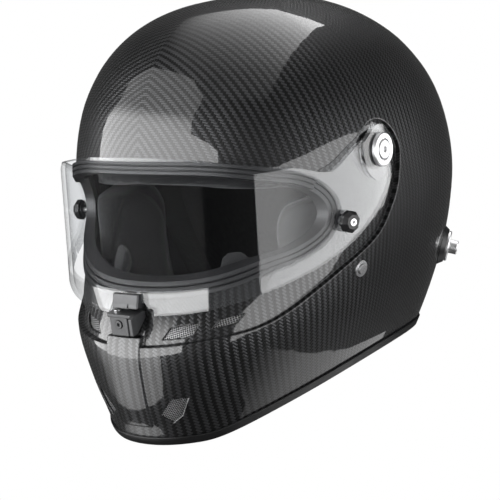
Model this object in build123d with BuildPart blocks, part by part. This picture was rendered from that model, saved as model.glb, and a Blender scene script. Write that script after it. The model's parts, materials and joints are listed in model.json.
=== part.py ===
from build123d import *
from math import copysign, cos, hypot, pi, radians, sin
import os

# A full-face car racing helmet, standing on its lower edge.
# +Z is up, the wearer looks along -Y and the wearer's left is +X.
# The origin lies on the resting plane, below the middle of the helmet.

# Outline of the shell: heights and reaches of its horizontal sections
HALF_WIDTH = 122.0
EQUATOR_HEIGHT = 135.5
DOME_RISE = 141.0
HEIGHT = EQUATOR_HEIGHT + DOME_RISE
EQUATOR_FRONT = 135.0
EQUATOR_REAR = 173.5
CHIN_REACH = 171.5
BASE_FRONT = 163.0
BASE_REAR = 137.5
BASE_HALF_WIDTH = 77.0
SECTION_CENTRE = -11.5
DOME_AXIS = 2.5
APEX_SHIFT = -13.0
BULGE_SHARE = 0.55

# Roundness of the sections and of the dome: 2 is an ellipse, more is squarer
DOME_SIDE_SHARE = 2.38
DOME_FRONT_SHARE = 2.24
DOME_REAR_SHARE = 2.27
FRONT_ROUND_SHARE = 2.07
REAR_ROUND_SHARE = 2.30
BASE_FRONT_ROUND_SHARE = 2.13
BASE_REAR_ROUND_SHARE = 2.15
SIDE_TAPER_SHARE = 1.63
REAR_TAPER_SHARE = 2.14
SECTION_POINTS = 28
LOWER_LEVEL_SHARES = (0, 0.1, 0.2, 0.3, 0.4, 0.5, 0.6, 0.72, 0.86, 1)
DOME_ANGLE_SHARES = (0.1, 0.21, 0.32, 0.43, 0.54, 0.64, 0.73, 0.81, 0.88, 0.94, 0.98)

# Arch of the lower edge, seen from the side
ARCH_RISE = 20.5
ARCH_HALF_SPAN = 141.0
ARCH_MIDDLE = -7.5
ARCH_SHARES = ((-1, 0), (-0.9, 0.12), (-0.75, 0.4), (-0.5, 0.74), (-0.25, 0.94), (0, 1))

# Shell laminate and the sunk field that the visor lies in
WALL = 3.0
RECESS = 3.5
FIT_GAP = 0.3
OVERRUN = 20.0
SIDE_REACH = HALF_WIDTH + OVERRUN
FRONT_FAR = CHIN_REACH + OVERRUN
RECESS_SHARES = ((-0.49, 0.571), (-0.445, 0.608), (-0.381, 0.622), (-0.311, 0.645),
                 (-0.236, 0.666), (-0.184, 0.682), (-0.125, 0.694), (-0.045, 0.683),
                 (0.005, 0.65), (0.025, 0.609), (0.01, 0.577), (-0.01, 0.548), (-0.04, 0.514),
                 (-0.092, 0.474), (-0.159, 0.429), (-0.245, 0.397), (-0.362, 0.366),
                 (-0.507, 0.325), (-0.64, 0.288), (-0.734, 0.272), (-0.841, 0.266),
                 (-0.981, 0.256), (-1.08, 0.25))
RECESS_CLOSING_SHARES = ((-1.08, 0.5), (-0.55, 0.53))

# Eyeport and the rubber seal round its edge
SEAL_LIP = 3.5
SEAL_BAND = 8.5
SEAL_PROUD = 2.6
SEAL_INSIDE = 2.4
SEAL_GROOVE_IN = 2.4
SEAL_GROOVE_OUT = 5.4
SEAL_GROOVE_WIDTH = 0.9
SEAL_GROOVE_DEPTH = 1.3
EYEPORT_SHARES = ((-1.08, 0.654), (-0.9, 0.65), (-0.767, 0.646), (-0.7, 0.634), (-0.616, 0.614),
                  (-0.531, 0.595), (-0.462, 0.567), (-0.422, 0.535), (-0.414, 0.504),
                  (-0.436, 0.478), (-0.494, 0.453), (-0.565, 0.437), (-0.637, 0.427),
                  (-0.69, 0.416), (-0.75, 0.404), (-0.815, 0.395), (-0.9, 0.388), (-1.08, 0.38))

# Rubber trim on the lower edge
TRIM_UNDER = 2.0
TRIM_HIGH = 6.0
TRIM_SKIN = 1.4

# Raised strip down the front of the chin
KEEL_HALF_WIDTH = 14.0
KEEL_PROUD = 1.4
KEEL_BOTTOM = 14.0
KEEL_TOP = 77.0
KEEL_TAPER_SHARE = 0.86

# Air inlets in the chin, as outlines seen from the front
INNER_VENT_SHARES = ((0.22, 0.27), (0.259, 0.2965), (0.397, 0.302), (0.372, 0.2795), (0.334, 0.272))
OUTER_VENT_SHARES = ((0.455, 0.285), (0.485, 0.304), (0.58, 0.3095), (0.552, 0.291))
LOWER_VENT_SHARES = ((0.158, 0.0814), (0.24, 0.1248), (0.326, 0.1266), (0.271, 0.079), (0.214, 0.0604))
MESH_DEPTH = 1.7
MESH_THICKNESS = 0.8

# Visor: three horizontal sections, each flatter to the front than the one below
VISOR_THICKNESS = 3.0
VISOR_LOW_LEVEL = 75.0
VISOR_LIP_LEVEL = 176.0
VISOR_HIGH_LEVEL = 206.0
VISOR_LOW_HALF = 124.5
VISOR_LIP_HALF = 121.8
VISOR_HIGH_HALF = 119.4
VISOR_LOW_REACH = 161.0
VISOR_LIP_REACH = 149.5
VISOR_HIGH_REACH = 134.5
VISOR_REAR = 20.0
VISOR_LOW_ROUND_SHARE = 2.15
VISOR_LIP_ROUND_SHARE = 2.15
VISOR_HIGH_ROUND_SHARE = 2.04
VISOR_TOP_SHARES = ((-1.08, 0.694), (-0.9, 0.694), (-0.813, 0.692), (-0.753, 0.677), (-0.649, 0.654),
                    (-0.53, 0.632), (-0.455, 0.614), (-0.411, 0.6085), (-0.372, 0.616),
                    (-0.311, 0.637), (-0.236, 0.659), (-0.19, 0.6735))
VISOR_BOTTOM_SHARES = ((-0.0525, 0.6275), (-0.056, 0.58), (-0.096, 0.535), (-0.195, 0.483),
                       (-0.3, 0.4435), (-0.423, 0.411), (-0.557, 0.384), (-0.679, 0.363),
                       (-0.749, 0.351), (-0.843, 0.335), (-0.9, 0.327), (-1.08, 0.325))
ARM_TOP_SHARES = (-0.118, 0.6855)
NOTCH_TOP_HALF = 14.0
NOTCH_LOW_HALF = 21.0
NOTCH_TOP = 98.0
NOTCH_LOW = 86.0

# Visor pivots
PIVOT_Y = -22.5
PIVOT_Z = 172.5
PIVOT_BASE_RADIUS = 13.5
SPIGOT_RADIUS = 6.8
PIVOT_BASE_OUT = 118.3
VISOR_PAD_IN = 118.8
VISOR_PAD_OUT = 122.1
VISOR_PAD_RADIUS = 21.0
PIVOT_BASE_IN = 106.0
BUSH_RADIUS = 6.0
RUNNING_GAP = 0.1
DISC_RADIUS = 11.6
DISC_IN = 122.3
DISC_THICKNESS = 2.6
DISC_BEVEL = 0.8
DISC_GROOVE_RADIUS = 7.4
DISC_GROOVE_DEPTH = 1.2
SCREW_HEAD_RADIUS = 6.7
SCREW_HEAD_HEIGHT = 1.8
SCREW_SHANK_RADIUS = 2.9
SCREW_HOLE_RADIUS = 3.0
HEX_RADIUS = 2.3
HEX_DEPTH = 1.4
PIVOT_NUT_RADIUS = 7.2
PIVOT_NUT_FLANGE = 1.4
PIVOT_NUT_BARREL = 4.4
PIVOT_NUT_LENGTH = 4.0
PIVOT_NUT_FACE = 111.4
NUT_POCKET_GAP = 1.5

# Tear-off film posts on the visor
POST_Y = -64.0
POST_Z = 133.3
POST_RADIUS = 7.7
POST_HEIGHT = 6.6
POST_BEVEL = 2.4
POST_FOOT_RADIUS = 5.0
POST_FOOT_HEIGHT = 1.2
POST_SEAT = 0.4
POST_SCREW_RADIUS = 2.5
POST_SCREW_PROUD = 0.5
POST_SCREW_SUNK = 1.2
POST_SHANK_RADIUS = 1.6
POST_HEX_RADIUS = 1.2
POST_NUT_RADIUS = 3.4
POST_NUT_HEIGHT = 1.4
POST_SIDES = 8

# Centre latch: a catch on the visor, and a bracket with a swinging lever on the chin
CATCH_HALF_WIDTH = 11.0
CATCH_BOTTOM = 95.2
CATCH_TOP = 104.0
CATCH_FRONT = -163.2
CATCH_BACK = -148.0
CATCH_CROWN = 1.4
CATCH_EDGE_FILLET = 1.0
CATCH_GROOVE_X = 3.0
CATCH_GROOVE_WIDTH = 1.2
CATCH_GROOVE_DEPTH = 0.8
CATCH_RIVET_RADIUS = 1.5
CATCH_RIVET_LEVEL = 101.0
CATCH_RIVET_OUT = 6.5
CATCH_RIVET_SEAT = -154.2
CATCH_RIVET_END = -159.4
CATCH_RIVET_HEAD = 0.9
BRACKET_HALF_WIDTH = 9.5
BRACKET_BOTTOM = 78.6
BRACKET_TOP = 91.0
BRACKET_FRONT = -170.5
BRACKET_BACK = -148.0
BRACKET_BEVEL = 2.4
LATCH_PIN_X = -6.2
LATCH_PIN_Y = -163.2
LATCH_PIN_RADIUS = 1.5
LATCH_PIN_GAP = 0.05
LATCH_PIN_DEPTH = 7.0
LATCH_PIN_HEAD = 2.7
LATCH_PIN_CAP = 0.9
LEVER_RIGHT = -10.5
LEVER_LEFT = 13.6
LEVER_BACK = -158.6
LEVER_FRONT = -171.0
LEVER_NOSE = 2.0
LEVER_THICKNESS = 2.1
LEVER_TOP = 93.2
LEVER_TAB_IN = 11.2
LEVER_TAB_BOTTOM = 80.0
LEVER_TAB_FRONT = -173.4
LATCH_SCREW_LEVEL = 86.2
LATCH_SCREW_HEAD = 2.7
LATCH_SCREW_SHANK = 1.5
LATCH_SCREW_HEAD_HEIGHT = 1.3
LATCH_SCREW_SUNK = 0.6
LATCH_SCREW_END = -150.5
LATCH_SCREW_HEX = 1.3

# Head-restraint anchors on the rear sides
ANCHOR_Y = 105.0
ANCHOR_Z = 69.5
ANCHOR_TURN = 25.0
ANCHOR_TILT = 17.0
BOSS_RADIUS = 17.5
BOSS_TOP_RADIUS = 12.4
BOSS_FOOT = 4.0
BOSS_HEIGHT = 3.4
ANCHOR_DISC_RADIUS = 11.5
ANCHOR_DISC_THICKNESS = 2.2
ANCHOR_DISC_BEVEL = 0.6
STUD_RADIUS = 5.2
STUD_LENGTH = 6.4
STUD_HEX_RADIUS = 2.6
STUD_HEX_DEPTH = 3.0
STUD_SHANK_RADIUS = 3.0
STUD_SHANK_LENGTH = 13.0
ANCHOR_NUT_RADIUS = 11.0
ANCHOR_NUT_DEPTH = 6.0
ANCHOR_NUT_BARREL = 5.0
ANCHOR_NUT_LENGTH = 7.0

# Chin strap rivets, straps and rings
RIVET_Y = -48.1
RIVET_Z = 96.1
RIVET_TURN = 10.6
RIVET_TILT = 11.0
RIVET_RADIUS = 5.6
RIVET_DOME_RADIUS = 4.1
RIVET_DOME = 1.3
RIVET_SHANK_RADIUS = 2.2
RIVET_TAIL_RADIUS = 3.6
RIVET_TAIL = 0.9
RIVET_DEPTH = 7.7
RIVET_SLOPE = 35.0
STRAP_HALF_WIDTH = 10.0
STRAP_THICKNESS = 1.8
STRAP_DEPTH = 6.6
STRAP_LEVELS = (98.5, 85.0, 65.0, 50.0, 41.0)
STRAP_BEND = ((83.0, 33.5), (76.0, 30.6), (64.0, 30.4))
LONG_STRAP_END = 6.0
STRAP_LEVEL = 31.0
LOOP_X = 32.0
LOOP_RADIUS = 3.4
RING_WIRE = 1.5
RING_HALF_WIDTH = 12.0
RING_LEG = 4.0
RING_CORNER = 3.0
RING_STACK = 1.7

# Foam, cloth and pads
FOAM_DEPTH = 29.0
FOAM_REAR_EXTRA = 8.0
CHIN_FOAM_DEPTH = 22.0
CHIN_FOAM_RISE = 14.0
LINER_THICKNESS = 8.0
FOAM_EDGE_SHARES = ((-1.12, 0.71), (-0.7, 0.69), (-0.4, 0.655), (-0.26, 0.56), (0.1, 0.56), (0.16, 0.12),
                    (1.12, 0.12), (1.12, 1.12), (-1.12, 1.12))
CHIN_FOAM_SHARES = ((-1.12, 0.05), (-1.12, 0.33), (-0.86, 0.335), (-0.7, 0.36), (-0.56, 0.385),
                    (-0.56, 0.12))
LINER_EDGE_SHARES = ((-1.12, 0.74), (-0.7, 0.72), (-0.34, 0.68), (-0.2, 0.6), (0.3, 0.5), (1.12, 0.45),
                     (1.12, 1.12), (-1.12, 1.12))
BROW_SHARES = ((-1.12, 0.62), (-0.78, 0.62), (-0.55, 0.575), (-0.36, 0.56), (-0.41, 0.6545), (-0.7, 0.6885),
               (-1.12, 0.7085))
BROW_OUTER = 12.5
BROW_DEPTH = 33.0
PAD_SHELL_DEPTH = 9.4
PAD_FRONT = -92.0
PAD_REAR = -16.0
PAD_LOW = 42.0
PAD_HIGH = 151.0
PAD_CORNER = 20.0
PAD_LEVELS = (112.0, 88.0, 74.0, 68.0)
PAD_INSET_SHARES = (0, 0, 0.1, 0.42)
CHIN_PAD_INNER = 40.0
CHIN_PAD_OUTER = 84.0
CHIN_PAD_FRONT = -140.0
CHIN_PAD_REAR = -95.0
CHIN_PAD_LOW = 97.5
CHIN_PAD_RISE = 24.0
CHIN_PAD_CORNER = 10.0
NECK_ROLL_DEPTH = 24.0
NECK_ROLL_LOW = 3.4
NECK_ROLL_HIGH = 32.6
NECK_ROLL_FRONT = 24.0


def dome(share, power):
    """Width of the dome against its height, 1 at the equator and 0 at the crown."""
    return max(0, 1 - share ** power) ** (1 / power)


def low_section(share, inset):
    """Sizes of a section below the equator, the share being 0 at the base and 1 at the equator."""
    drop = 1 - share
    half = HALF_WIDTH - (HALF_WIDTH - BASE_HALF_WIDTH) * drop ** SIDE_TAPER_SHARE
    bulge = sin(pi / 2 * min(drop / BULGE_SHARE, 1)) ** 2
    tuck = max(0, (drop - BULGE_SHARE) / (1 - BULGE_SHARE)) ** 2
    front = EQUATOR_FRONT + (CHIN_REACH - EQUATOR_FRONT) * bulge - (CHIN_REACH - BASE_FRONT) * tuck
    rear = EQUATOR_REAR - (EQUATOR_REAR - BASE_REAR) * drop ** REAR_TAPER_SHARE
    front_round = FRONT_ROUND_SHARE + (BASE_FRONT_ROUND_SHARE - FRONT_ROUND_SHARE) * drop
    rear_round = REAR_ROUND_SHARE + (BASE_REAR_ROUND_SHARE - REAR_ROUND_SHARE) * drop
    return half - inset, inset - front, SECTION_CENTRE, rear - inset, front_round, rear_round


def high_section(share, inset):
    """Sizes of a section above the equator, the share being the sine of its angle in the dome."""
    crest = DOME_AXIS + APEX_SHIFT * share ** 2
    half = (HALF_WIDTH - inset) * dome(share, DOME_SIDE_SHARE)
    centre = crest + (SECTION_CENTRE - DOME_AXIS) * dome(share, DOME_SIDE_SHARE)
    front = crest - (EQUATOR_FRONT + DOME_AXIS - inset) * dome(share, DOME_FRONT_SHARE)
    rear = crest + (EQUATOR_REAR - DOME_AXIS - inset) * dome(share, DOME_REAR_SHARE)
    front_round = FRONT_ROUND_SHARE + (2 - FRONT_ROUND_SHARE) * share ** 3
    rear_round = REAR_ROUND_SHARE + (2 - REAR_ROUND_SHARE) * share ** 3
    return half, front, centre, rear, front_round, rear_round


def ring_edge(half, front, centre, rear, front_round, rear_round):
    """One horizontal section as a closed curve, starting at the middle of its rear."""
    points = []
    for step in range(SECTION_POINTS):
        aside = sin(2 * pi * step / SECTION_POINTS)
        along = cos(2 * pi * step / SECTION_POINTS)
        reach = rear - centre if along > 0 else centre - front
        power = rear_round if along > 0 else front_round
        size = (abs(aside) ** power + abs(along) ** power) ** (-1 / power)
        points.append((half * aside * size, centre + reach * along * size))
    evenly = [step / SECTION_POINTS for step in range(SECTION_POINTS + 1)]
    return Edge.make_spline(points, periodic=True, parameters=evenly)


def helmet_form(inset, rear_extra=0):
    """The solid form of the helmet, drawn in all round by the inset."""
    with BuildPart() as form:
        for share in LOWER_LEVEL_SHARES:
            half, front, centre, rear, front_round, rear_round = low_section(share, inset)
            with BuildSketch(Plane.XY.offset(share * EQUATOR_HEIGHT)):
                with BuildLine():
                    add(ring_edge(half, front, centre, rear - rear_extra, front_round, rear_round))
                make_face()
        for angle in DOME_ANGLE_SHARES:
            share = sin(pi / 2 * angle)
            half, front, centre, rear, front_round, rear_round = high_section(share, inset)
            rear = rear - rear_extra * dome(share, DOME_REAR_SHARE)
            with BuildSketch(Plane.XY.offset(EQUATOR_HEIGHT + share * (DOME_RISE - inset))):
                with BuildLine():
                    add(ring_edge(half, front, centre, rear, front_round, rear_round))
                make_face()
        loft()
    return form.part


def side_of(y, z, inset=0):
    """Half width of the lower form at one place along the side."""
    half, front, centre, rear, front_round, rear_round = low_section(z / EQUATOR_HEIGHT, inset)
    reach = rear - centre if y > centre else centre - front
    power = rear_round if y > centre else front_round
    return half * dome(abs(y - centre) / reach, power)


def side_points(shares, grow=0):
    """Side-view shares as lengths, moved outwards by grow; they run round clockwise."""
    flat = [(y * CHIN_REACH, z * HEIGHT) for y, z in shares]
    moved = []
    for index, (y, z) in enumerate(flat):
        back = flat[max(index - 1, 0)]
        ahead = flat[min(index + 1, len(flat) - 1)]
        length = hypot(ahead[0] - back[0], ahead[1] - back[1])
        moved.append((y - grow * (ahead[1] - back[1]) / length, z + grow * (ahead[0] - back[0]) / length))
    return moved


def side_prism(curve, closing=()):
    """A prism through the whole helmet from a curve and a closing line seen from the side."""
    with BuildPart() as prism:
        with BuildSketch(Plane.YZ):
            with BuildLine():
                Spline(*curve)
                Polyline(curve[-1], *closing, curve[0])
            make_face()
        extrude(amount=SIDE_REACH, both=True)
    return prism.part


def side_block(shares):
    """A prism through the whole helmet from a straight-sided outline seen from the side."""
    with BuildPart() as block:
        with BuildSketch(Plane.YZ):
            with BuildLine():
                Polyline(*side_points(shares), close=True)
            make_face()
        extrude(amount=SIDE_REACH, both=True)
    return block.part


def under_arch(rise):
    """All that lies below the arched lower edge, lifted by the rise."""
    rear = [(ARCH_MIDDLE - y * ARCH_HALF_SPAN, rise + z * ARCH_RISE) for y, z in ARCH_SHARES]
    front = [(ARCH_MIDDLE + y * ARCH_HALF_SPAN, rise + z * ARCH_RISE) for y, z in ARCH_SHARES]
    arch = front + rear[-2::-1]
    with BuildPart() as under:
        with BuildSketch(Plane.YZ):
            with BuildLine():
                Spline(*arch, tangents=((1, 0), (1, 0)))
                Polyline(arch[-1], (FRONT_FAR, rise), (FRONT_FAR, -OVERRUN), (-FRONT_FAR, -OVERRUN),
                         (-FRONT_FAR, rise), arch[0])
            make_face()
        extrude(amount=SIDE_REACH, both=True)
    return under.part


def stepped_form(inset):
    """The form with the field of the visor sunk into it, drawn in all round by the inset."""
    with BuildPart() as sunk:
        add(side_prism(side_points(RECESS_SHARES, inset), side_points(RECESS_CLOSING_SHARES)))
        add(helmet_form(RECESS + inset), mode=Mode.SUBTRACT)
    with BuildPart() as stepped:
        add(helmet_form(inset))
        add(sunk.part, mode=Mode.SUBTRACT)
    return stepped.part


def front_prism(shares):
    """A pair of prisms through the chin from an outline seen from the front."""
    with BuildPart() as prism:
        with BuildSketch(Plane.XZ):
            with BuildLine():
                Polyline(*[(x * HALF_WIDTH, z * HEIGHT) for x, z in shares], close=True)
            make_face()
            mirror(about=Plane.YZ)
        extrude(amount=FRONT_FAR)
    return prism.part


def visor_sizes(level):
    """Half width, reach and roundness of the visor's outer face at one level."""
    if level < VISOR_LIP_LEVEL:
        share = (level - VISOR_LOW_LEVEL) / (VISOR_LIP_LEVEL - VISOR_LOW_LEVEL)
        return (VISOR_LOW_HALF + (VISOR_LIP_HALF - VISOR_LOW_HALF) * share,
                VISOR_LOW_REACH + (VISOR_LIP_REACH - VISOR_LOW_REACH) * share,
                VISOR_LOW_ROUND_SHARE + (VISOR_LIP_ROUND_SHARE - VISOR_LOW_ROUND_SHARE) * share)
    share = (level - VISOR_LIP_LEVEL) / (VISOR_HIGH_LEVEL - VISOR_LIP_LEVEL)
    return (VISOR_LIP_HALF + (VISOR_HIGH_HALF - VISOR_LIP_HALF) * share,
            VISOR_LIP_REACH + (VISOR_HIGH_REACH - VISOR_LIP_REACH) * share,
            VISOR_LIP_ROUND_SHARE + (VISOR_HIGH_ROUND_SHARE - VISOR_LIP_ROUND_SHARE) * share)


def visor_body(inset):
    """The solid bounded by the visor's face, drawn in by the inset."""
    with BuildPart() as body:
        for level in (VISOR_LOW_LEVEL, VISOR_LIP_LEVEL, VISOR_HIGH_LEVEL):
            half, reach, roundness = visor_sizes(level)
            points = []
            for step in range(SECTION_POINTS + 1):
                aside = cos(pi * step / SECTION_POINTS)
                along = sin(pi * step / SECTION_POINTS)
                x = (half - inset) * copysign(abs(aside) ** (2 / roundness), aside)
                deep = (reach - inset + SECTION_CENTRE) * abs(along) ** (2 / roundness)
                points.append((x, SECTION_CENTRE - deep))
            with BuildSketch(Plane.XY.offset(level)):
                with BuildLine():
                    Spline(*points, tangents=((0, -1), (0, 1)))
                    Polyline(points[-1], (points[-1][0], VISOR_REAR), (points[0][0], VISOR_REAR), points[0])
                make_face()
        loft(ruled=True)
    return body.part


def visor_place(y, level):
    """Plane on the visor's outer face, wearer's left, with its Z pointing straight out."""
    half, reach, roundness = visor_sizes(level)
    depth = reach + SECTION_CENTRE
    share = (SECTION_CENTRE - y) / depth
    x = half * dome(share, roundness)
    out_x = (x / half) ** (roundness - 1) / half
    out_y = -share ** (roundness - 1) / depth
    return Plane(origin=(x, y, level), z_dir=(out_x, out_y, 0))


os.makedirs("parts", exist_ok=True)

# Cutting bodies used by more than one piece
sunk_outer = stepped_form(0)
sunk_inner = stepped_form(WALL)
eyeport_hole = side_prism(side_points(EYEPORT_SHARES, SEAL_LIP))
eyeport_clear = side_prism(side_points(EYEPORT_SHARES))
eyeport_band = side_prism(side_points(EYEPORT_SHARES, SEAL_BAND))
pivot_place = Plane(origin=(PIVOT_BASE_OUT, PIVOT_Y, PIVOT_Z), z_dir=(1, 0, 0))
anchor_dir = (cos(radians(ANCHOR_TURN)) * cos(radians(ANCHOR_TILT)),
              sin(radians(ANCHOR_TURN)) * cos(radians(ANCHOR_TILT)), -sin(radians(ANCHOR_TILT)))
anchor_place = Plane(origin=(side_of(ANCHOR_Y, ANCHOR_Z), ANCHOR_Y, ANCHOR_Z), z_dir=anchor_dir)
rivet_dir = (cos(radians(RIVET_TURN)) * cos(radians(RIVET_TILT)),
             -sin(radians(RIVET_TURN)) * cos(radians(RIVET_TILT)), -sin(radians(RIVET_TILT)))
rivet_place = Plane(origin=(side_of(RIVET_Y, RIVET_Z), RIVET_Y, RIVET_Z), z_dir=rivet_dir)
post_place = visor_place(POST_Y, POST_Z)
anchor_axis = Axis(anchor_place.origin, anchor_place.z_dir)
post_axis = Axis(post_place.origin, post_place.z_dir)

with BuildPart() as upper_vents:
    add(front_prism(INNER_VENT_SHARES))
    add(front_prism(OUTER_VENT_SHARES))

with BuildPart() as lower_vents:
    add(front_prism(LOWER_VENT_SHARES))

with BuildPart() as keel:
    with BuildSketch(Plane.XZ):
        with BuildLine():
            Polyline((-KEEL_HALF_WIDTH, KEEL_TOP), (KEEL_HALF_WIDTH, KEEL_TOP),
                     (KEEL_TAPER_SHARE * KEEL_HALF_WIDTH, KEEL_BOTTOM),
                     (-KEEL_TAPER_SHARE * KEEL_HALF_WIDTH, KEEL_BOTTOM), close=True)
        make_face()
    extrude(amount=FRONT_FAR)
    add(helmet_form(-KEEL_PROUD), mode=Mode.INTERSECT)

with BuildPart() as shell_bores:
    with BuildSketch(pivot_place.offset(PIVOT_BASE_IN - PIVOT_BASE_OUT)):
        Circle(SPIGOT_RADIUS + FIT_GAP)
    extrude(amount=OVERRUN)
    with BuildSketch(anchor_place.offset(-OVERRUN)):
        Circle(STUD_SHANK_RADIUS + FIT_GAP)
    extrude(amount=2 * OVERRUN)
    with BuildSketch(rivet_place.offset(-OVERRUN)):
        Circle(RIVET_SHANK_RADIUS + FIT_GAP)
    extrude(amount=2 * OVERRUN)
    mirror(about=Plane.YZ)
    with BuildSketch(Plane.XZ.offset(-LATCH_SCREW_END - OVERRUN)):
        with Locations((0, LATCH_SCREW_LEVEL)):
            Circle(LATCH_SCREW_SHANK + FIT_GAP)
    extrude(amount=2 * OVERRUN)

# Carbon laminate shell
with BuildPart() as outer_shell:
    add(sunk_outer)
    add(keel.part)
    add(sunk_inner, mode=Mode.SUBTRACT)
    add(under_arch(TRIM_UNDER), mode=Mode.SUBTRACT)
    add(eyeport_hole, mode=Mode.SUBTRACT)
    add(upper_vents.part, mode=Mode.SUBTRACT)
    add(lower_vents.part, mode=Mode.SUBTRACT)
    add(shell_bores.part, mode=Mode.SUBTRACT)
outer_shell.part.label = "outer_shell"
export_step(outer_shell.part, "parts/outer_shell.step")

# Rubber trim, a channel over the lower edge
with BuildPart() as base_trim:
    add(helmet_form(-TRIM_SKIN))
    add(helmet_form(WALL + TRIM_SKIN), mode=Mode.SUBTRACT)
    add(under_arch(0), mode=Mode.SUBTRACT)
    add(under_arch(TRIM_HIGH), mode=Mode.INTERSECT)
    add(outer_shell.part, mode=Mode.SUBTRACT)
base_trim.part.label = "base_trim"
export_step(base_trim.part, "parts/base_trim.step")

# Rubber seal round the eyeport, gripping the cut edge of the shell
with BuildPart() as seal_grooves:
    add(side_prism(side_points(EYEPORT_SHARES, SEAL_GROOVE_OUT + SEAL_GROOVE_WIDTH)))
    add(side_prism(side_points(EYEPORT_SHARES, SEAL_GROOVE_OUT)), mode=Mode.SUBTRACT)
    add(side_prism(side_points(EYEPORT_SHARES, SEAL_GROOVE_IN + SEAL_GROOVE_WIDTH)))
    add(side_prism(side_points(EYEPORT_SHARES, SEAL_GROOVE_IN)), mode=Mode.SUBTRACT)
    add(stepped_form(SEAL_GROOVE_DEPTH - SEAL_PROUD), mode=Mode.SUBTRACT)

with BuildPart() as eyeport_gasket:
    add(stepped_form(-SEAL_PROUD))
    add(stepped_form(WALL + SEAL_INSIDE), mode=Mode.SUBTRACT)
    add(eyeport_band, mode=Mode.INTERSECT)
    add(eyeport_clear, mode=Mode.SUBTRACT)
    add(outer_shell.part, mode=Mode.SUBTRACT)
    add(seal_grooves.part, mode=Mode.SUBTRACT)
eyeport_gasket.part.label = "eyeport_gasket"
export_step(eyeport_gasket.part, "parts/eyeport_gasket.step")

# Screens in the air inlets
with BuildPart() as upper_vent_mesh:
    add(helmet_form(RECESS + MESH_DEPTH))
    add(helmet_form(RECESS + MESH_DEPTH + MESH_THICKNESS), mode=Mode.SUBTRACT)
    add(upper_vents.part, mode=Mode.INTERSECT)
upper_vent_mesh.part.label = "upper_vent_mesh"
export_step(upper_vent_mesh.part, "parts/upper_vent_mesh.step")

with BuildPart() as lower_vent_mesh:
    add(helmet_form(MESH_DEPTH))
    add(helmet_form(MESH_DEPTH + MESH_THICKNESS), mode=Mode.SUBTRACT)
    add(lower_vents.part, mode=Mode.INTERSECT)
lower_vent_mesh.part.label = "lower_vent_mesh"
export_step(lower_vent_mesh.part, "parts/lower_vent_mesh.step")

# Clear visor with a flat round land at each pivot
with BuildPart() as visor_outline:
    with BuildSketch(Plane.YZ):
        with BuildLine():
            top = side_points(VISOR_TOP_SHARES)
            bottom = side_points(VISOR_BOTTOM_SHARES)
            Spline(*top)
            ThreePointArc(top[-1], side_points((ARM_TOP_SHARES, VISOR_BOTTOM_SHARES[0]))[0], bottom[0])
            Spline(*bottom)
            Line(bottom[-1], top[0])
        make_face()
    extrude(amount=SIDE_REACH, both=True)

with BuildPart() as visor_land:
    with BuildSketch(pivot_place.offset(VISOR_PAD_IN - PIVOT_BASE_OUT)):
        Circle(VISOR_PAD_RADIUS)
    extrude(amount=OVERRUN)
    mirror(about=Plane.YZ)

with BuildPart() as visor_beyond:
    with BuildSketch(pivot_place.offset(VISOR_PAD_OUT - PIVOT_BASE_OUT)):
        Circle(VISOR_PAD_RADIUS)
    extrude(amount=OVERRUN)
    with BuildSketch(pivot_place.offset(VISOR_PAD_IN - PIVOT_BASE_OUT)):
        Circle(VISOR_PAD_RADIUS)
    extrude(amount=-OVERRUN)
    with BuildSketch(pivot_place):
        Circle(BUSH_RADIUS + RUNNING_GAP)
    extrude(amount=OVERRUN)
    mirror(about=Plane.YZ)

with BuildPart() as visor_notch:
    with BuildSketch(Plane.XZ.offset(-CATCH_BACK - OVERRUN)):
        with BuildLine():
            Polyline((-NOTCH_TOP_HALF, NOTCH_TOP), (NOTCH_TOP_HALF, NOTCH_TOP), (NOTCH_LOW_HALF, NOTCH_LOW),
                     (NOTCH_LOW_HALF, 0), (-NOTCH_LOW_HALF, 0), (-NOTCH_LOW_HALF, NOTCH_LOW), close=True)
        make_face()
    extrude(amount=FRONT_FAR)
    with BuildSketch(post_place.offset(-OVERRUN)):
        Circle(POST_SHANK_RADIUS)
    extrude(amount=2 * OVERRUN)
    mirror(about=Plane.YZ)
    with BuildSketch(Plane.XZ.offset(-CATCH_BACK - OVERRUN)):
        with Locations((-CATCH_RIVET_OUT, CATCH_RIVET_LEVEL), (CATCH_RIVET_OUT, CATCH_RIVET_LEVEL)):
            Circle(CATCH_RIVET_RADIUS)
    extrude(amount=2 * OVERRUN)

with BuildPart() as visor:
    add(visor_body(0))
    add(visor_body(VISOR_THICKNESS), mode=Mode.SUBTRACT)
    add(visor_land.part)
    add(visor_outline.part, mode=Mode.INTERSECT)
    add(visor_beyond.part, mode=Mode.SUBTRACT)
    add(visor_notch.part, mode=Mode.SUBTRACT)
visor.part.label = "visor"
export_step(visor.part, "parts/visor.step")

# Visor pivots: a base in the shell, a bevelled disc, a screw and a flanged nut on each side
with BuildPart() as pivot_base_left:
    with BuildSketch(pivot_place):
        Circle(PIVOT_BASE_RADIUS)
    extrude(amount=PIVOT_BASE_IN - PIVOT_BASE_OUT)
    add(sunk_outer, mode=Mode.SUBTRACT)
    with BuildSketch(pivot_place.offset(PIVOT_NUT_FACE - PIVOT_BASE_OUT)):
        Circle(SPIGOT_RADIUS)
    extrude(amount=PIVOT_BASE_OUT - PIVOT_NUT_FACE)
    with BuildSketch(pivot_place):
        Circle(BUSH_RADIUS)
    extrude(amount=DISC_IN - PIVOT_BASE_OUT)
    with BuildSketch(pivot_place.offset(PIVOT_BASE_IN - PIVOT_BASE_OUT)):
        Circle(SCREW_HOLE_RADIUS)
    extrude(amount=OVERRUN, mode=Mode.SUBTRACT)
pivot_base_left.part.label = "pivot_base_left"
export_step(pivot_base_left.part, "parts/pivot_base_left.step")

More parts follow.
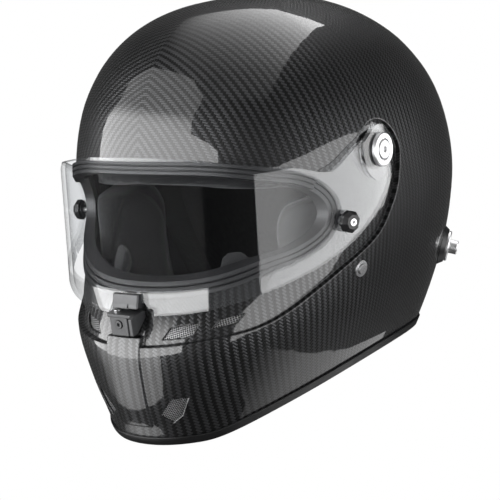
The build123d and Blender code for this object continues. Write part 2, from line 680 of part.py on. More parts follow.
with BuildPart() as pivot_base_right:
    mirror(pivot_base_left.part, about=Plane.YZ)
pivot_base_right.part.label = "pivot_base_right"
export_step(pivot_base_right.part, "parts/pivot_base_right.step")

with BuildPart() as pivot_disc_left:
    with BuildSketch(pivot_place.offset(DISC_IN - PIVOT_BASE_OUT)):
        Circle(DISC_RADIUS)
        Circle(SCREW_HOLE_RADIUS, mode=Mode.SUBTRACT)
    extrude(amount=DISC_THICKNESS)
    disc_rims = pivot_disc_left.edges().filter_by(GeomType.CIRCLE).group_by(Axis.X)[-1]
    chamfer(disc_rims.sort_by(SortBy.RADIUS)[-1], length=DISC_BEVEL)
    with BuildSketch(pivot_place.offset(DISC_IN + DISC_THICKNESS - PIVOT_BASE_OUT)):
        Circle(DISC_GROOVE_RADIUS)
    extrude(amount=-DISC_GROOVE_DEPTH, mode=Mode.SUBTRACT)
pivot_disc_left.part.label = "pivot_disc_left"
export_step(pivot_disc_left.part, "parts/pivot_disc_left.step")

with BuildPart() as pivot_disc_right:
    mirror(pivot_disc_left.part, about=Plane.YZ)
pivot_disc_right.part.label = "pivot_disc_right"
export_step(pivot_disc_right.part, "parts/pivot_disc_right.step")

screw_seat = DISC_IN + DISC_THICKNESS - DISC_GROOVE_DEPTH - PIVOT_BASE_OUT
with BuildPart() as pivot_screws:
    with BuildSketch(pivot_place.offset(screw_seat)):
        Circle(SCREW_HEAD_RADIUS)
    extrude(amount=SCREW_HEAD_HEIGHT)
    screw_rim = pivot_screws.edges().filter_by(GeomType.CIRCLE).sort_by(Axis.X)[-1]
    fillet(screw_rim, radius=DISC_BEVEL)
    with BuildSketch(pivot_place.offset(screw_seat)):
        Circle(SCREW_SHANK_RADIUS)
    extrude(amount=PIVOT_NUT_FACE - PIVOT_NUT_FLANGE - PIVOT_BASE_OUT - screw_seat)
    with BuildSketch(pivot_place.offset(screw_seat + SCREW_HEAD_HEIGHT)):
        RegularPolygon(HEX_RADIUS, 6)
    extrude(amount=-HEX_DEPTH, mode=Mode.SUBTRACT)
    mirror(about=Plane.YZ)
pivot_screws.part.label = "pivot_screws"
export_step(pivot_screws.part, "parts/pivot_screws.step")

with BuildPart() as pivot_nuts:
    with BuildSketch(pivot_place.offset(PIVOT_NUT_FACE - PIVOT_BASE_OUT)):
        Circle(PIVOT_NUT_RADIUS)
    extrude(amount=-PIVOT_NUT_FLANGE)
    with BuildSketch(pivot_place.offset(PIVOT_NUT_FACE - PIVOT_NUT_FLANGE - PIVOT_BASE_OUT)):
        Circle(PIVOT_NUT_BARREL)
    extrude(amount=-PIVOT_NUT_LENGTH)
    with BuildSketch(pivot_place.offset(PIVOT_NUT_FACE - PIVOT_BASE_OUT)):
        Circle(SCREW_SHANK_RADIUS)
    extrude(amount=-PIVOT_NUT_FLANGE, mode=Mode.SUBTRACT)
    mirror(about=Plane.YZ)
pivot_nuts.part.label = "pivot_nuts"
export_step(pivot_nuts.part, "parts/pivot_nuts.step")

# Tear-off film posts: an eight-sided knob, its screw and a nut inside the visor
with BuildPart() as tearoff_post_left:
    with BuildSketch(post_place.offset(POST_SEAT)):
        Circle(POST_FOOT_RADIUS)
    extrude(amount=POST_FOOT_HEIGHT)
    with BuildSketch(post_place.offset(POST_SEAT + POST_FOOT_HEIGHT)):
        RegularPolygon(POST_RADIUS, POST_SIDES)
    extrude(amount=POST_HEIGHT - POST_FOOT_HEIGHT)
    chamfer(tearoff_post_left.faces().sort_by(post_axis)[-1].edges(), length=POST_BEVEL)
    with BuildSketch(post_place.offset(POST_SEAT + POST_HEIGHT)):
        Circle(POST_SCREW_RADIUS + FIT_GAP / 2)
    extrude(amount=-POST_SCREW_SUNK, mode=Mode.SUBTRACT)
    with BuildSketch(post_place):
        Circle(POST_SHANK_RADIUS)
    extrude(amount=POST_SEAT + POST_HEIGHT, mode=Mode.SUBTRACT)
tearoff_post_left.part.label = "tearoff_post_left"
export_step(tearoff_post_left.part, "parts/tearoff_post_left.step")

with BuildPart() as tearoff_post_right:
    mirror(tearoff_post_left.part, about=Plane.YZ)
tearoff_post_right.part.label = "tearoff_post_right"
export_step(tearoff_post_right.part, "parts/tearoff_post_right.step")

post_top = POST_SEAT + POST_HEIGHT
with BuildPart() as tearoff_screws:
    with BuildSketch(post_place.offset(post_top - POST_SCREW_SUNK)):
        Circle(POST_SCREW_RADIUS)
    extrude(amount=POST_SCREW_SUNK + POST_SCREW_PROUD)
    with BuildSketch(post_place.offset(post_top + POST_SCREW_PROUD)):
        RegularPolygon(POST_HEX_RADIUS, 6)
    extrude(amount=-POST_SCREW_SUNK, mode=Mode.SUBTRACT)
    with BuildSketch(post_place.offset(post_top - POST_SCREW_SUNK)):
        Circle(POST_SHANK_RADIUS)
    extrude(amount=POST_SCREW_SUNK - post_top - VISOR_THICKNESS - POST_SEAT)
    mirror(about=Plane.YZ)
tearoff_screws.part.label = "tearoff_screws"
export_step(tearoff_screws.part, "parts/tearoff_screws.step")

with BuildPart() as tearoff_nuts:
    with BuildSketch(post_place.offset(-VISOR_THICKNESS - POST_SEAT)):
        Circle(POST_NUT_RADIUS)
    extrude(amount=-POST_NUT_HEIGHT)
    mirror(about=Plane.YZ)
tearoff_nuts.part.label = "tearoff_nuts"
export_step(tearoff_nuts.part, "parts/tearoff_nuts.step")

# Catch plate riveted to the lower edge of the visor
with BuildPart() as visor_catch:
    with BuildSketch(Plane.YZ):
        with BuildLine():
            Polyline((CATCH_FRONT, CATCH_BOTTOM), (CATCH_FRONT + CATCH_CROWN / 2, NOTCH_TOP),
                     (CATCH_FRONT + 2 * CATCH_CROWN, CATCH_TOP), (CATCH_BACK, CATCH_TOP),
                     (CATCH_BACK, CATCH_BOTTOM), close=True)
        make_face()
    extrude(amount=CATCH_HALF_WIDTH, both=True)
    add(visor_body(0), mode=Mode.SUBTRACT)
    fillet(visor_catch.edges().filter_by(GeomType.LINE).filter_by_position(
        Axis.X, -CATCH_HALF_WIDTH, -CATCH_HALF_WIDTH).sort_by(Axis.Y)[:2], radius=CATCH_EDGE_FILLET)
    fillet(visor_catch.edges().filter_by(GeomType.LINE).filter_by_position(
        Axis.X, CATCH_HALF_WIDTH, CATCH_HALF_WIDTH).sort_by(Axis.Y)[:2], radius=CATCH_EDGE_FILLET)
    with BuildSketch(Plane.XY.offset(CATCH_BOTTOM)):
        with Locations((CATCH_GROOVE_X, CATCH_FRONT)):
            Rectangle(CATCH_GROOVE_WIDTH, 2 * CATCH_GROOVE_DEPTH)
    extrude(amount=CATCH_TOP - CATCH_BOTTOM - CATCH_GROOVE_WIDTH, mode=Mode.SUBTRACT)
    with BuildSketch(Plane.XZ.offset(-CATCH_BACK)):
        with Locations((-CATCH_RIVET_OUT, CATCH_RIVET_LEVEL), (CATCH_RIVET_OUT, CATCH_RIVET_LEVEL)):
            Circle(CATCH_RIVET_RADIUS)
    extrude(amount=CATCH_BACK - CATCH_RIVET_END, mode=Mode.SUBTRACT)
visor_catch.part.label = "visor_catch"
export_step(visor_catch.part, "parts/visor_catch.step")

with BuildPart() as catch_rivets:
    with BuildSketch(Plane.XZ.offset(-CATCH_RIVET_SEAT)):
        with Locations((-CATCH_RIVET_OUT, CATCH_RIVET_LEVEL), (CATCH_RIVET_OUT, CATCH_RIVET_LEVEL)):
            Circle(CATCH_RIVET_RADIUS)
    extrude(amount=CATCH_RIVET_SEAT - CATCH_RIVET_END)
    with BuildSketch(Plane.XZ.offset(-CATCH_RIVET_SEAT)):
        with Locations((-CATCH_RIVET_OUT, CATCH_RIVET_LEVEL), (CATCH_RIVET_OUT, CATCH_RIVET_LEVEL)):
            Circle(2 * CATCH_RIVET_RADIUS)
    extrude(amount=-CATCH_RIVET_HEAD)
catch_rivets.part.label = "catch_rivets"
export_step(catch_rivets.part, "parts/catch_rivets.step")

# Bracket of the latch, screwed to the chin
with BuildPart() as latch_bracket:
    with BuildSketch(Plane.XY.offset(BRACKET_BOTTOM)):
        with BuildLine():
            Polyline((-BRACKET_HALF_WIDTH, BRACKET_BACK),
                     (-BRACKET_HALF_WIDTH, BRACKET_FRONT + BRACKET_BEVEL),
                     (-BRACKET_HALF_WIDTH + BRACKET_BEVEL, BRACKET_FRONT),
                     (BRACKET_HALF_WIDTH - BRACKET_BEVEL, BRACKET_FRONT),
                     (BRACKET_HALF_WIDTH, BRACKET_FRONT + BRACKET_BEVEL), (BRACKET_HALF_WIDTH, BRACKET_BACK),
                     close=True)
        make_face()
    extrude(amount=BRACKET_TOP - BRACKET_BOTTOM)
    add(sunk_outer, mode=Mode.SUBTRACT)
    add(keel.part, mode=Mode.SUBTRACT)
    with BuildSketch(Plane.XZ.offset(-BRACKET_FRONT)):
        with Locations((0, LATCH_SCREW_LEVEL)):
            Circle(LATCH_SCREW_HEAD + FIT_GAP)
    extrude(amount=-LATCH_SCREW_SUNK, mode=Mode.SUBTRACT)
    with BuildSketch(Plane.XZ.offset(-BRACKET_FRONT)):
        with Locations((0, LATCH_SCREW_LEVEL)):
            Circle(LATCH_SCREW_SHANK)
    extrude(amount=BRACKET_FRONT - BRACKET_BACK, mode=Mode.SUBTRACT)
    with BuildSketch(Plane.XY.offset(BRACKET_TOP)):
        with Locations((LATCH_PIN_X, LATCH_PIN_Y)):
            Circle(LATCH_PIN_RADIUS)
    extrude(amount=-LATCH_PIN_DEPTH, mode=Mode.SUBTRACT)
latch_bracket.part.label = "latch_bracket"
export_step(latch_bracket.part, "parts/latch_bracket.step")

# Lever of the latch: a plate that swings out on an upright pin, with a thumb tab at its free end
with BuildPart() as latch_lever:
    with BuildSketch(Plane.XY.offset(BRACKET_TOP + RUNNING_GAP)):
        with BuildLine():
            Polyline((LEVER_RIGHT, LEVER_BACK), (LEVER_RIGHT, LEVER_FRONT + LEVER_NOSE),
                     (LEVER_RIGHT + LEVER_NOSE, LEVER_FRONT), (LEVER_LEFT - LEVER_NOSE, LEVER_FRONT),
                     (LEVER_LEFT, LEVER_FRONT + LEVER_NOSE), (LEVER_LEFT, LEVER_BACK), close=True)
        make_face()
    extrude(amount=LEVER_THICKNESS)
    with BuildSketch(Plane.YZ.offset(LEVER_TAB_IN)):
        with BuildLine():
            Polyline((LEVER_BACK, LEVER_TOP), (LEVER_BACK, BRACKET_TOP - LEVER_THICKNESS),
                     (LEVER_FRONT + LEVER_NOSE, LEVER_TAB_BOTTOM), (LEVER_TAB_FRONT, LEVER_TAB_BOTTOM),
                     (LEVER_TAB_FRONT, LEVER_TOP - LEVER_NOSE), (LEVER_FRONT, LEVER_TOP), close=True)
        make_face()
    extrude(amount=LEVER_LEFT - LEVER_TAB_IN)
    with BuildSketch(Plane.XY.offset(BRACKET_TOP)):
        with Locations((LATCH_PIN_X, LATCH_PIN_Y)):
            Circle(LATCH_PIN_RADIUS + LATCH_PIN_GAP)
    extrude(amount=OVERRUN, mode=Mode.SUBTRACT)
latch_lever.part.label = "latch_lever"
export_step(latch_lever.part, "parts/latch_lever.step")

with BuildPart() as latch_pin:
    with BuildSketch(Plane.XY.offset(BRACKET_TOP - LATCH_PIN_DEPTH)):
        with Locations((LATCH_PIN_X, LATCH_PIN_Y)):
            Circle(LATCH_PIN_RADIUS)
    extrude(amount=LATCH_PIN_DEPTH + LEVER_THICKNESS + 2 * RUNNING_GAP)
    with BuildSketch(Plane.XY.offset(BRACKET_TOP + LEVER_THICKNESS + 2 * RUNNING_GAP)):
        with Locations((LATCH_PIN_X, LATCH_PIN_Y)):
            Circle(LATCH_PIN_HEAD)
    extrude(amount=LATCH_PIN_CAP)
latch_pin.part.label = "latch_pin"
export_step(latch_pin.part, "parts/latch_pin.step")

with BuildPart() as latch_screw:
    with BuildSketch(Plane.XZ.offset(-BRACKET_FRONT - LATCH_SCREW_SUNK)):
        with Locations((0, LATCH_SCREW_LEVEL)):
            Circle(LATCH_SCREW_HEAD)
    extrude(amount=LATCH_SCREW_HEAD_HEIGHT)
    with BuildSketch(Plane.XZ.offset(LATCH_SCREW_HEAD_HEIGHT - LATCH_SCREW_SUNK - BRACKET_FRONT)):
        with Locations((0, LATCH_SCREW_LEVEL)):
            RegularPolygon(LATCH_SCREW_HEX, 6)
    extrude(amount=-LATCH_SCREW_SUNK * 2, mode=Mode.SUBTRACT)
    with BuildSketch(Plane.XZ.offset(-LATCH_SCREW_END)):
        with Locations((0, LATCH_SCREW_LEVEL)):
            Circle(LATCH_SCREW_SHANK)
    extrude(amount=LATCH_SCREW_END - BRACKET_FRONT - LATCH_SCREW_SUNK)
latch_screw.part.label = "latch_screw"
export_step(latch_screw.part, "parts/latch_screw.step")

# Head-restraint anchors: a boss, a bevelled disc, a stud with a socket and a nut inside the shell
with BuildPart() as anchor_boss_left:
    with BuildSketch(anchor_place.offset(-BOSS_FOOT)):
        Circle(BOSS_RADIUS)
    with BuildSketch(anchor_place.offset(BOSS_HEIGHT)):
        Circle(BOSS_TOP_RADIUS)
    loft()
    add(sunk_outer, mode=Mode.SUBTRACT)
    with BuildSketch(anchor_place.offset(-BOSS_FOOT)):
        Circle(STUD_SHANK_RADIUS)
    extrude(amount=OVERRUN, mode=Mode.SUBTRACT)
anchor_boss_left.part.label = "anchor_boss_left"
export_step(anchor_boss_left.part, "parts/anchor_boss_left.step")

with BuildPart() as anchor_boss_right:
    mirror(anchor_boss_left.part, about=Plane.YZ)
anchor_boss_right.part.label = "anchor_boss_right"
export_step(anchor_boss_right.part, "parts/anchor_boss_right.step")

with BuildPart() as anchor_disc_left:
    with BuildSketch(anchor_place.offset(BOSS_HEIGHT)):
        Circle(ANCHOR_DISC_RADIUS)
    extrude(amount=ANCHOR_DISC_THICKNESS)
    anchor_rims = anchor_disc_left.edges().filter_by(GeomType.CIRCLE)
    chamfer(anchor_rims.sort_by(anchor_axis)[-1], length=ANCHOR_DISC_BEVEL)
    with BuildSketch(anchor_place.offset(BOSS_HEIGHT)):
        Circle(STUD_SHANK_RADIUS)
    extrude(amount=ANCHOR_DISC_THICKNESS, mode=Mode.SUBTRACT)
anchor_disc_left.part.label = "anchor_disc_left"
export_step(anchor_disc_left.part, "parts/anchor_disc_left.step")

with BuildPart() as anchor_disc_right:
    mirror(anchor_disc_left.part, about=Plane.YZ)
anchor_disc_right.part.label = "anchor_disc_right"
export_step(anchor_disc_right.part, "parts/anchor_disc_right.step")

stud_seat = BOSS_HEIGHT + ANCHOR_DISC_THICKNESS
with BuildPart() as anchor_stud_left:
    with BuildSketch(anchor_place.offset(stud_seat)):
        Circle(STUD_RADIUS)
    extrude(amount=STUD_LENGTH)
    stud_rims = anchor_stud_left.edges().filter_by(GeomType.CIRCLE)
    chamfer(stud_rims.sort_by(anchor_axis)[-1], length=ANCHOR_DISC_BEVEL)
    with BuildSketch(anchor_place.offset(stud_seat + STUD_LENGTH)):
        RegularPolygon(STUD_HEX_RADIUS, 6)
    extrude(amount=-STUD_HEX_DEPTH, mode=Mode.SUBTRACT)
    with BuildSketch(anchor_place.offset(stud_seat)):
        Circle(STUD_SHANK_RADIUS)
    extrude(amount=-STUD_SHANK_LENGTH)
anchor_stud_left.part.label = "anchor_stud_left"
export_step(anchor_stud_left.part, "parts/anchor_stud_left.step")

with BuildPart() as anchor_stud_right:
    mirror(anchor_stud_left.part, about=Plane.YZ)
anchor_stud_right.part.label = "anchor_stud_right"
export_step(anchor_stud_right.part, "parts/anchor_stud_right.step")

with BuildPart() as anchor_nuts:
    with BuildSketch(anchor_place.offset(-ANCHOR_NUT_DEPTH)):
        Circle(ANCHOR_NUT_RADIUS)
    extrude(amount=OVERRUN)
    add(helmet_form(WALL + RUNNING_GAP), mode=Mode.INTERSECT)
    with BuildSketch(anchor_place.offset(-ANCHOR_NUT_DEPTH)):
        Circle(ANCHOR_NUT_BARREL)
    extrude(amount=-ANCHOR_NUT_LENGTH)
    with BuildSketch(anchor_place):
        Circle(STUD_SHANK_RADIUS)
    extrude(amount=stud_seat - STUD_SHANK_LENGTH, mode=Mode.SUBTRACT)
    mirror(about=Plane.YZ)
anchor_nuts.part.label = "anchor_nuts"
export_step(anchor_nuts.part, "parts/anchor_nuts.step")

# Chin strap rivets, one through each side of the shell
with BuildPart() as strap_rivets:
    with BuildSketch(rivet_place.offset(-RIVET_TAIL)):
        Circle(RIVET_RADIUS)
    extrude(amount=2 * RIVET_TAIL)
    add(sunk_outer, mode=Mode.SUBTRACT)
    with BuildSketch(rivet_place.offset(RIVET_TAIL)):
        Circle(RIVET_DOME_RADIUS)
    extrude(amount=RIVET_DOME, taper=RIVET_SLOPE)
    with BuildSketch(rivet_place.offset(RIVET_TAIL)):
        Circle(RIVET_SHANK_RADIUS)
    extrude(amount=-RIVET_TAIL - RIVET_DEPTH)
    with BuildSketch(rivet_place.offset(-RIVET_DEPTH)):
        Circle(RIVET_TAIL_RADIUS)
    extrude(amount=-RIVET_TAIL)
    mirror(about=Plane.YZ)
strap_rivets.part.label = "strap_rivets"
export_step(strap_rivets.part, "parts/strap_rivets.step")

# Energy-absorbing foam inside the crown and the back
pocket_floor = PIVOT_NUT_FACE - PIVOT_BASE_OUT - PIVOT_NUT_LENGTH - 2 * NUT_POCKET_GAP
with BuildPart() as foam_pockets:
    with BuildSketch(pivot_place.offset(pocket_floor)):
        Circle(PIVOT_NUT_RADIUS + NUT_POCKET_GAP)
    extrude(amount=OVERRUN)
    with BuildSketch(anchor_place.offset(-ANCHOR_NUT_DEPTH - ANCHOR_NUT_LENGTH - NUT_POCKET_GAP)):
        Circle(ANCHOR_NUT_RADIUS + NUT_POCKET_GAP)
    extrude(amount=OVERRUN)
    mirror(about=Plane.YZ)
    with BuildSketch(Plane.XZ.offset(-LATCH_SCREW_END - NUT_POCKET_GAP)):
        with Locations((0, LATCH_SCREW_LEVEL)):
            Circle(LATCH_SCREW_HEAD + NUT_POCKET_GAP)
    extrude(amount=OVERRUN)

sunk_foam = stepped_form(WALL + FIT_GAP)
with BuildPart() as crown_foam:
    add(sunk_foam)
    add(helmet_form(FOAM_DEPTH, FOAM_REAR_EXTRA), mode=Mode.SUBTRACT)
    add(side_block(FOAM_EDGE_SHARES), mode=Mode.INTERSECT)
    add(foam_pockets.part, mode=Mode.SUBTRACT)
crown_foam.part.label = "crown_foam"
export_step(crown_foam.part, "parts/crown_foam.step")

with BuildPart() as chin_foam:
    add(sunk_foam)
    add(helmet_form(CHIN_FOAM_DEPTH), mode=Mode.SUBTRACT)
    add(side_block(CHIN_FOAM_SHARES), mode=Mode.INTERSECT)
    add(helmet_form(WALL + TRIM_SKIN + FIT_GAP), mode=Mode.INTERSECT)
    add(under_arch(CHIN_FOAM_RISE), mode=Mode.SUBTRACT)
    add(foam_pockets.part, mode=Mode.SUBTRACT)
chin_foam.part.label = "chin_foam"
export_step(chin_foam.part, "parts/chin_foam.step")

# Soft lining inside the foam
with BuildPart() as crown_liner:
    add(helmet_form(FOAM_DEPTH + FIT_GAP, FOAM_REAR_EXTRA))
    add(helmet_form(FOAM_DEPTH + FIT_GAP + LINER_THICKNESS, FOAM_REAR_EXTRA), mode=Mode.SUBTRACT)
    add(side_block(LINER_EDGE_SHARES), mode=Mode.INTERSECT)
crown_liner.part.label = "crown_liner"
export_step(crown_liner.part, "parts/crown_liner.step")

with BuildPart() as brow_pad:
    add(helmet_form(BROW_OUTER))
    add(helmet_form(BROW_DEPTH), mode=Mode.SUBTRACT)
    add(side_block(BROW_SHARES), mode=Mode.INTERSECT)
brow_pad.part.label = "brow_pad"
export_step(brow_pad.part, "parts/brow_pad.step")

with BuildPart() as cheek_pad_left:
    for level, inset in zip(PAD_LEVELS, PAD_INSET_SHARES):
        with BuildSketch(Plane.YZ.offset(level)):
            with Locations(((PAD_FRONT + PAD_REAR) / 2, (PAD_LOW + PAD_HIGH) / 2)):
                RectangleRounded(PAD_REAR - PAD_FRONT - 2 * inset * PAD_CORNER,
                                 PAD_HIGH - PAD_LOW - 2 * inset * PAD_CORNER, PAD_CORNER)
    loft()
    add(helmet_form(PAD_SHELL_DEPTH), mode=Mode.INTERSECT)
cheek_pad_left.part.label = "cheek_pad_left"
export_step(cheek_pad_left.part, "parts/cheek_pad_left.step")

with BuildPart() as cheek_pad_right:
    mirror(cheek_pad_left.part, about=Plane.YZ)
cheek_pad_right.part.label = "cheek_pad_right"
export_step(cheek_pad_right.part, "parts/cheek_pad_right.step")

with BuildPart() as chin_pad_left:
    with BuildSketch(Plane.XY.offset(CHIN_PAD_LOW)):
        with Locations(((CHIN_PAD_INNER + CHIN_PAD_OUTER) / 2, (CHIN_PAD_FRONT + CHIN_PAD_REAR) / 2)):
            RectangleRounded(CHIN_PAD_OUTER - CHIN_PAD_INNER, CHIN_PAD_REAR - CHIN_PAD_FRONT,
                             CHIN_PAD_CORNER)
    extrude(amount=CHIN_PAD_RISE)
    add(helmet_form(CHIN_FOAM_DEPTH + FIT_GAP), mode=Mode.INTERSECT)
chin_pad_left.part.label = "chin_pad_left"
export_step(chin_pad_left.part, "parts/chin_pad_left.step")

with BuildPart() as chin_pad_right:
    mirror(chin_pad_left.part, about=Plane.YZ)
chin_pad_right.part.label = "chin_pad_right"
export_step(chin_pad_right.part, "parts/chin_pad_right.step")

with BuildPart() as neck_roll:
    add(helmet_form(WALL + TRIM_SKIN + FIT_GAP))
    add(helmet_form(NECK_ROLL_DEPTH), mode=Mode.SUBTRACT)
    add(under_arch(NECK_ROLL_LOW), mode=Mode.SUBTRACT)
    with BuildSketch(Plane.XY):
        with Locations((0, NECK_ROLL_FRONT + FRONT_FAR / 2)):
            Rectangle(2 * SIDE_REACH, FRONT_FAR)
    extrude(amount=NECK_ROLL_HIGH, mode=Mode.INTERSECT)
neck_roll.part.label = "neck_roll"
export_step(neck_roll.part, "parts/neck_roll.step")

# Chin straps: flat webbing from each rivet down the wall and in under the cheek pad
def strap_band(run):
    """Webbing in the upright plane through the left rivet, down the wall and then along the run."""
    lean = cos(radians(RIVET_TURN))
    wall_x = side_of(RIVET_Y, RIVET_Z)
    middle = [((side_of(RIVET_Y, z, STRAP_DEPTH) - wall_x) * lean, z) for z in STRAP_LEVELS]
    middle += [((x - wall_x) / lean, z) for x, z in run]
    outer = []
    inner = []
    for index, (u, z) in enumerate(middle):
        back = middle[max(index - 1, 0)]
        ahead = middle[min(index + 1, len(middle) - 1)]
        length = 2 * hypot(ahead[0] - back[0], ahead[1] - back[1])
        shift_u = STRAP_THICKNESS * (ahead[1] - back[1]) / length
        shift_z = STRAP_THICKNESS * (ahead[0] - back[0]) / length
        outer.append((u - shift_u, z + shift_z))
        inner.append((u + shift_u, z - shift_z))
    with BuildPart() as band:
        with BuildSketch(strap_place):
            with BuildLine():
                Spline(*outer)
                Spline(*inner)
                Line(outer[0], inner[0])
                Line(outer[-1], inner[-1])
            make_face()
        extrude(amount=STRAP_HALF_WIDTH, both=True)
        with BuildSketch(rivet_place.offset(-RIVET_DEPTH - RIVET_TAIL)):
            Circle(RIVET_SHANK_RADIUS)
        extrude(amount=OVERRUN, mode=Mode.SUBTRACT)
    return band.part


strap_turn = radians(RIVET_TURN)
strap_place = Plane(origin=(side_of(RIVET_Y, RIVET_Z), RIVET_Y, 0),
                    x_dir=(cos(strap_turn), -sin(strap_turn), 0),
                    z_dir=(-sin(strap_turn), -cos(strap_turn), 0))
with BuildPart() as chin_strap_left:
    add(strap_band((*STRAP_BEND, (LOOP_X, STRAP_LEVEL), (LONG_STRAP_END, STRAP_LEVEL))))
chin_strap_left.part.label = "chin_strap_left"
export_step(chin_strap_left.part, "parts/chin_strap_left.step")

loop_u = (LOOP_X - side_of(RIVET_Y, RIVET_Z)) / cos(strap_turn)
loop_z = STRAP_LEVEL - LOOP_RADIUS - STRAP_THICKNESS / 2
with BuildPart() as looped_strap:
    add(strap_band((*STRAP_BEND, (LOOP_X, STRAP_LEVEL))))
    with BuildSketch(strap_place):
        with Locations((loop_u, loop_z)):
            Circle(LOOP_RADIUS + STRAP_THICKNESS)
    extrude(amount=STRAP_HALF_WIDTH, both=True)
    with BuildSketch(strap_place):
        with Locations((loop_u, loop_z)):
            Circle(LOOP_RADIUS)
    extrude(amount=STRAP_HALF_WIDTH, both=True, mode=Mode.SUBTRACT)

with BuildPart() as chin_strap_right:
    mirror(looped_strap.part, about=Plane.YZ)
chin_strap_right.part.label = "chin_strap_right"
export_step(chin_strap_right.part, "parts/chin_strap_right.step")

# Two D-shaped rings in the loop of the right strap
ring_place = Plane(origin=strap_place.from_local_coords((loop_u, loop_z, 0)),
                   x_dir=(-cos(strap_turn), sin(strap_turn), 0), z_dir=(0, 0, 1))
ring_start = ring_place.from_local_coords((RING_LEG, RING_HALF_WIDTH, 0))
bar_end = RING_HALF_WIDTH - RING_CORNER
with BuildPart() as one_ring:
    with BuildLine(ring_place):
        Line((RING_LEG, RING_HALF_WIDTH), (RING_CORNER, RING_HALF_WIDTH))
        RadiusArc((RING_CORNER, RING_HALF_WIDTH), (0, bar_end), -RING_CORNER)
        Line((0, bar_end), (0, -bar_end))
        RadiusArc((0, -bar_end), (RING_CORNER, -RING_HALF_WIDTH), -RING_CORNER)
        Line((RING_CORNER, -RING_HALF_WIDTH), (RING_LEG, -RING_HALF_WIDTH))
        ThreePointArc((RING_LEG, -RING_HALF_WIDTH), (RING_LEG + RING_HALF_WIDTH, 0),
                      (RING_LEG, RING_HALF_WIDTH))
    with BuildSketch(Plane(origin=ring_start, z_dir=-ring_place.x_dir)):
        Circle(RING_WIRE)
    sweep()

with BuildPart() as ring_pair:
    with Locations((0, 0, -RING_STACK), (0, 0, RING_STACK)):
        add(one_ring.part)

with BuildPart() as d_rings:
    mirror(ring_pair.part, about=Plane.YZ)
d_rings.part.label = "d_rings"
export_step(d_rings.part, "parts/d_rings.step")
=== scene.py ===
import json
import math

import bmesh
import bpy
import numpy as np
from mathutils import Matrix, Vector


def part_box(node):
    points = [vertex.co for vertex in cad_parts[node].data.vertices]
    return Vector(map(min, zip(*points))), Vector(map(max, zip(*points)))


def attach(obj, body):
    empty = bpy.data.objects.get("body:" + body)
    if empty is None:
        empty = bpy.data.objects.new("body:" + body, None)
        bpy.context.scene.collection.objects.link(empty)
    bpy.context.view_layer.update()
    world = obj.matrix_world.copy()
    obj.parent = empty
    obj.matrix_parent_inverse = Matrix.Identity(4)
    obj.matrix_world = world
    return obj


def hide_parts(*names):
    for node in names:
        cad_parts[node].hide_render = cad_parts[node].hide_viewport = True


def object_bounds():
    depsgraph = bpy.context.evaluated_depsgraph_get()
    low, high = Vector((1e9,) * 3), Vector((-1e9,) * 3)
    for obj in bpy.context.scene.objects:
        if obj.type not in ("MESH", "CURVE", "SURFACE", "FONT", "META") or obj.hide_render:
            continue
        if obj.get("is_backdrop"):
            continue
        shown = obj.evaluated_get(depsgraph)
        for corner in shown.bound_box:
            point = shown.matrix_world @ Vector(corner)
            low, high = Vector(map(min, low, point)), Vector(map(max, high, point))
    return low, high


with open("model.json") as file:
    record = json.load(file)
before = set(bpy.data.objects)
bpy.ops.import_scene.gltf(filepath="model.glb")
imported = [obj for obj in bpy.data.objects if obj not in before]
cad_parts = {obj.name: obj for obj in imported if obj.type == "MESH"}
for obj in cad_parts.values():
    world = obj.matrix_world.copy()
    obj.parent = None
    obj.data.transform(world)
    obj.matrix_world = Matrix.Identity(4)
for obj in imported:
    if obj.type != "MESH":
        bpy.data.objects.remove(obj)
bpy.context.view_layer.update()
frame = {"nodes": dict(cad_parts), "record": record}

NODES = frame["nodes"]
SLOT_OF = {row["node"]: row["material_slot"] for row in frame["record"]["subparts"]}


def add_object(name, data):
    made = bpy.data.objects.new(name, data)
    bpy.context.scene.collection.objects.link(made)
    return made


# ---------------------------------------------------------------- node graphs

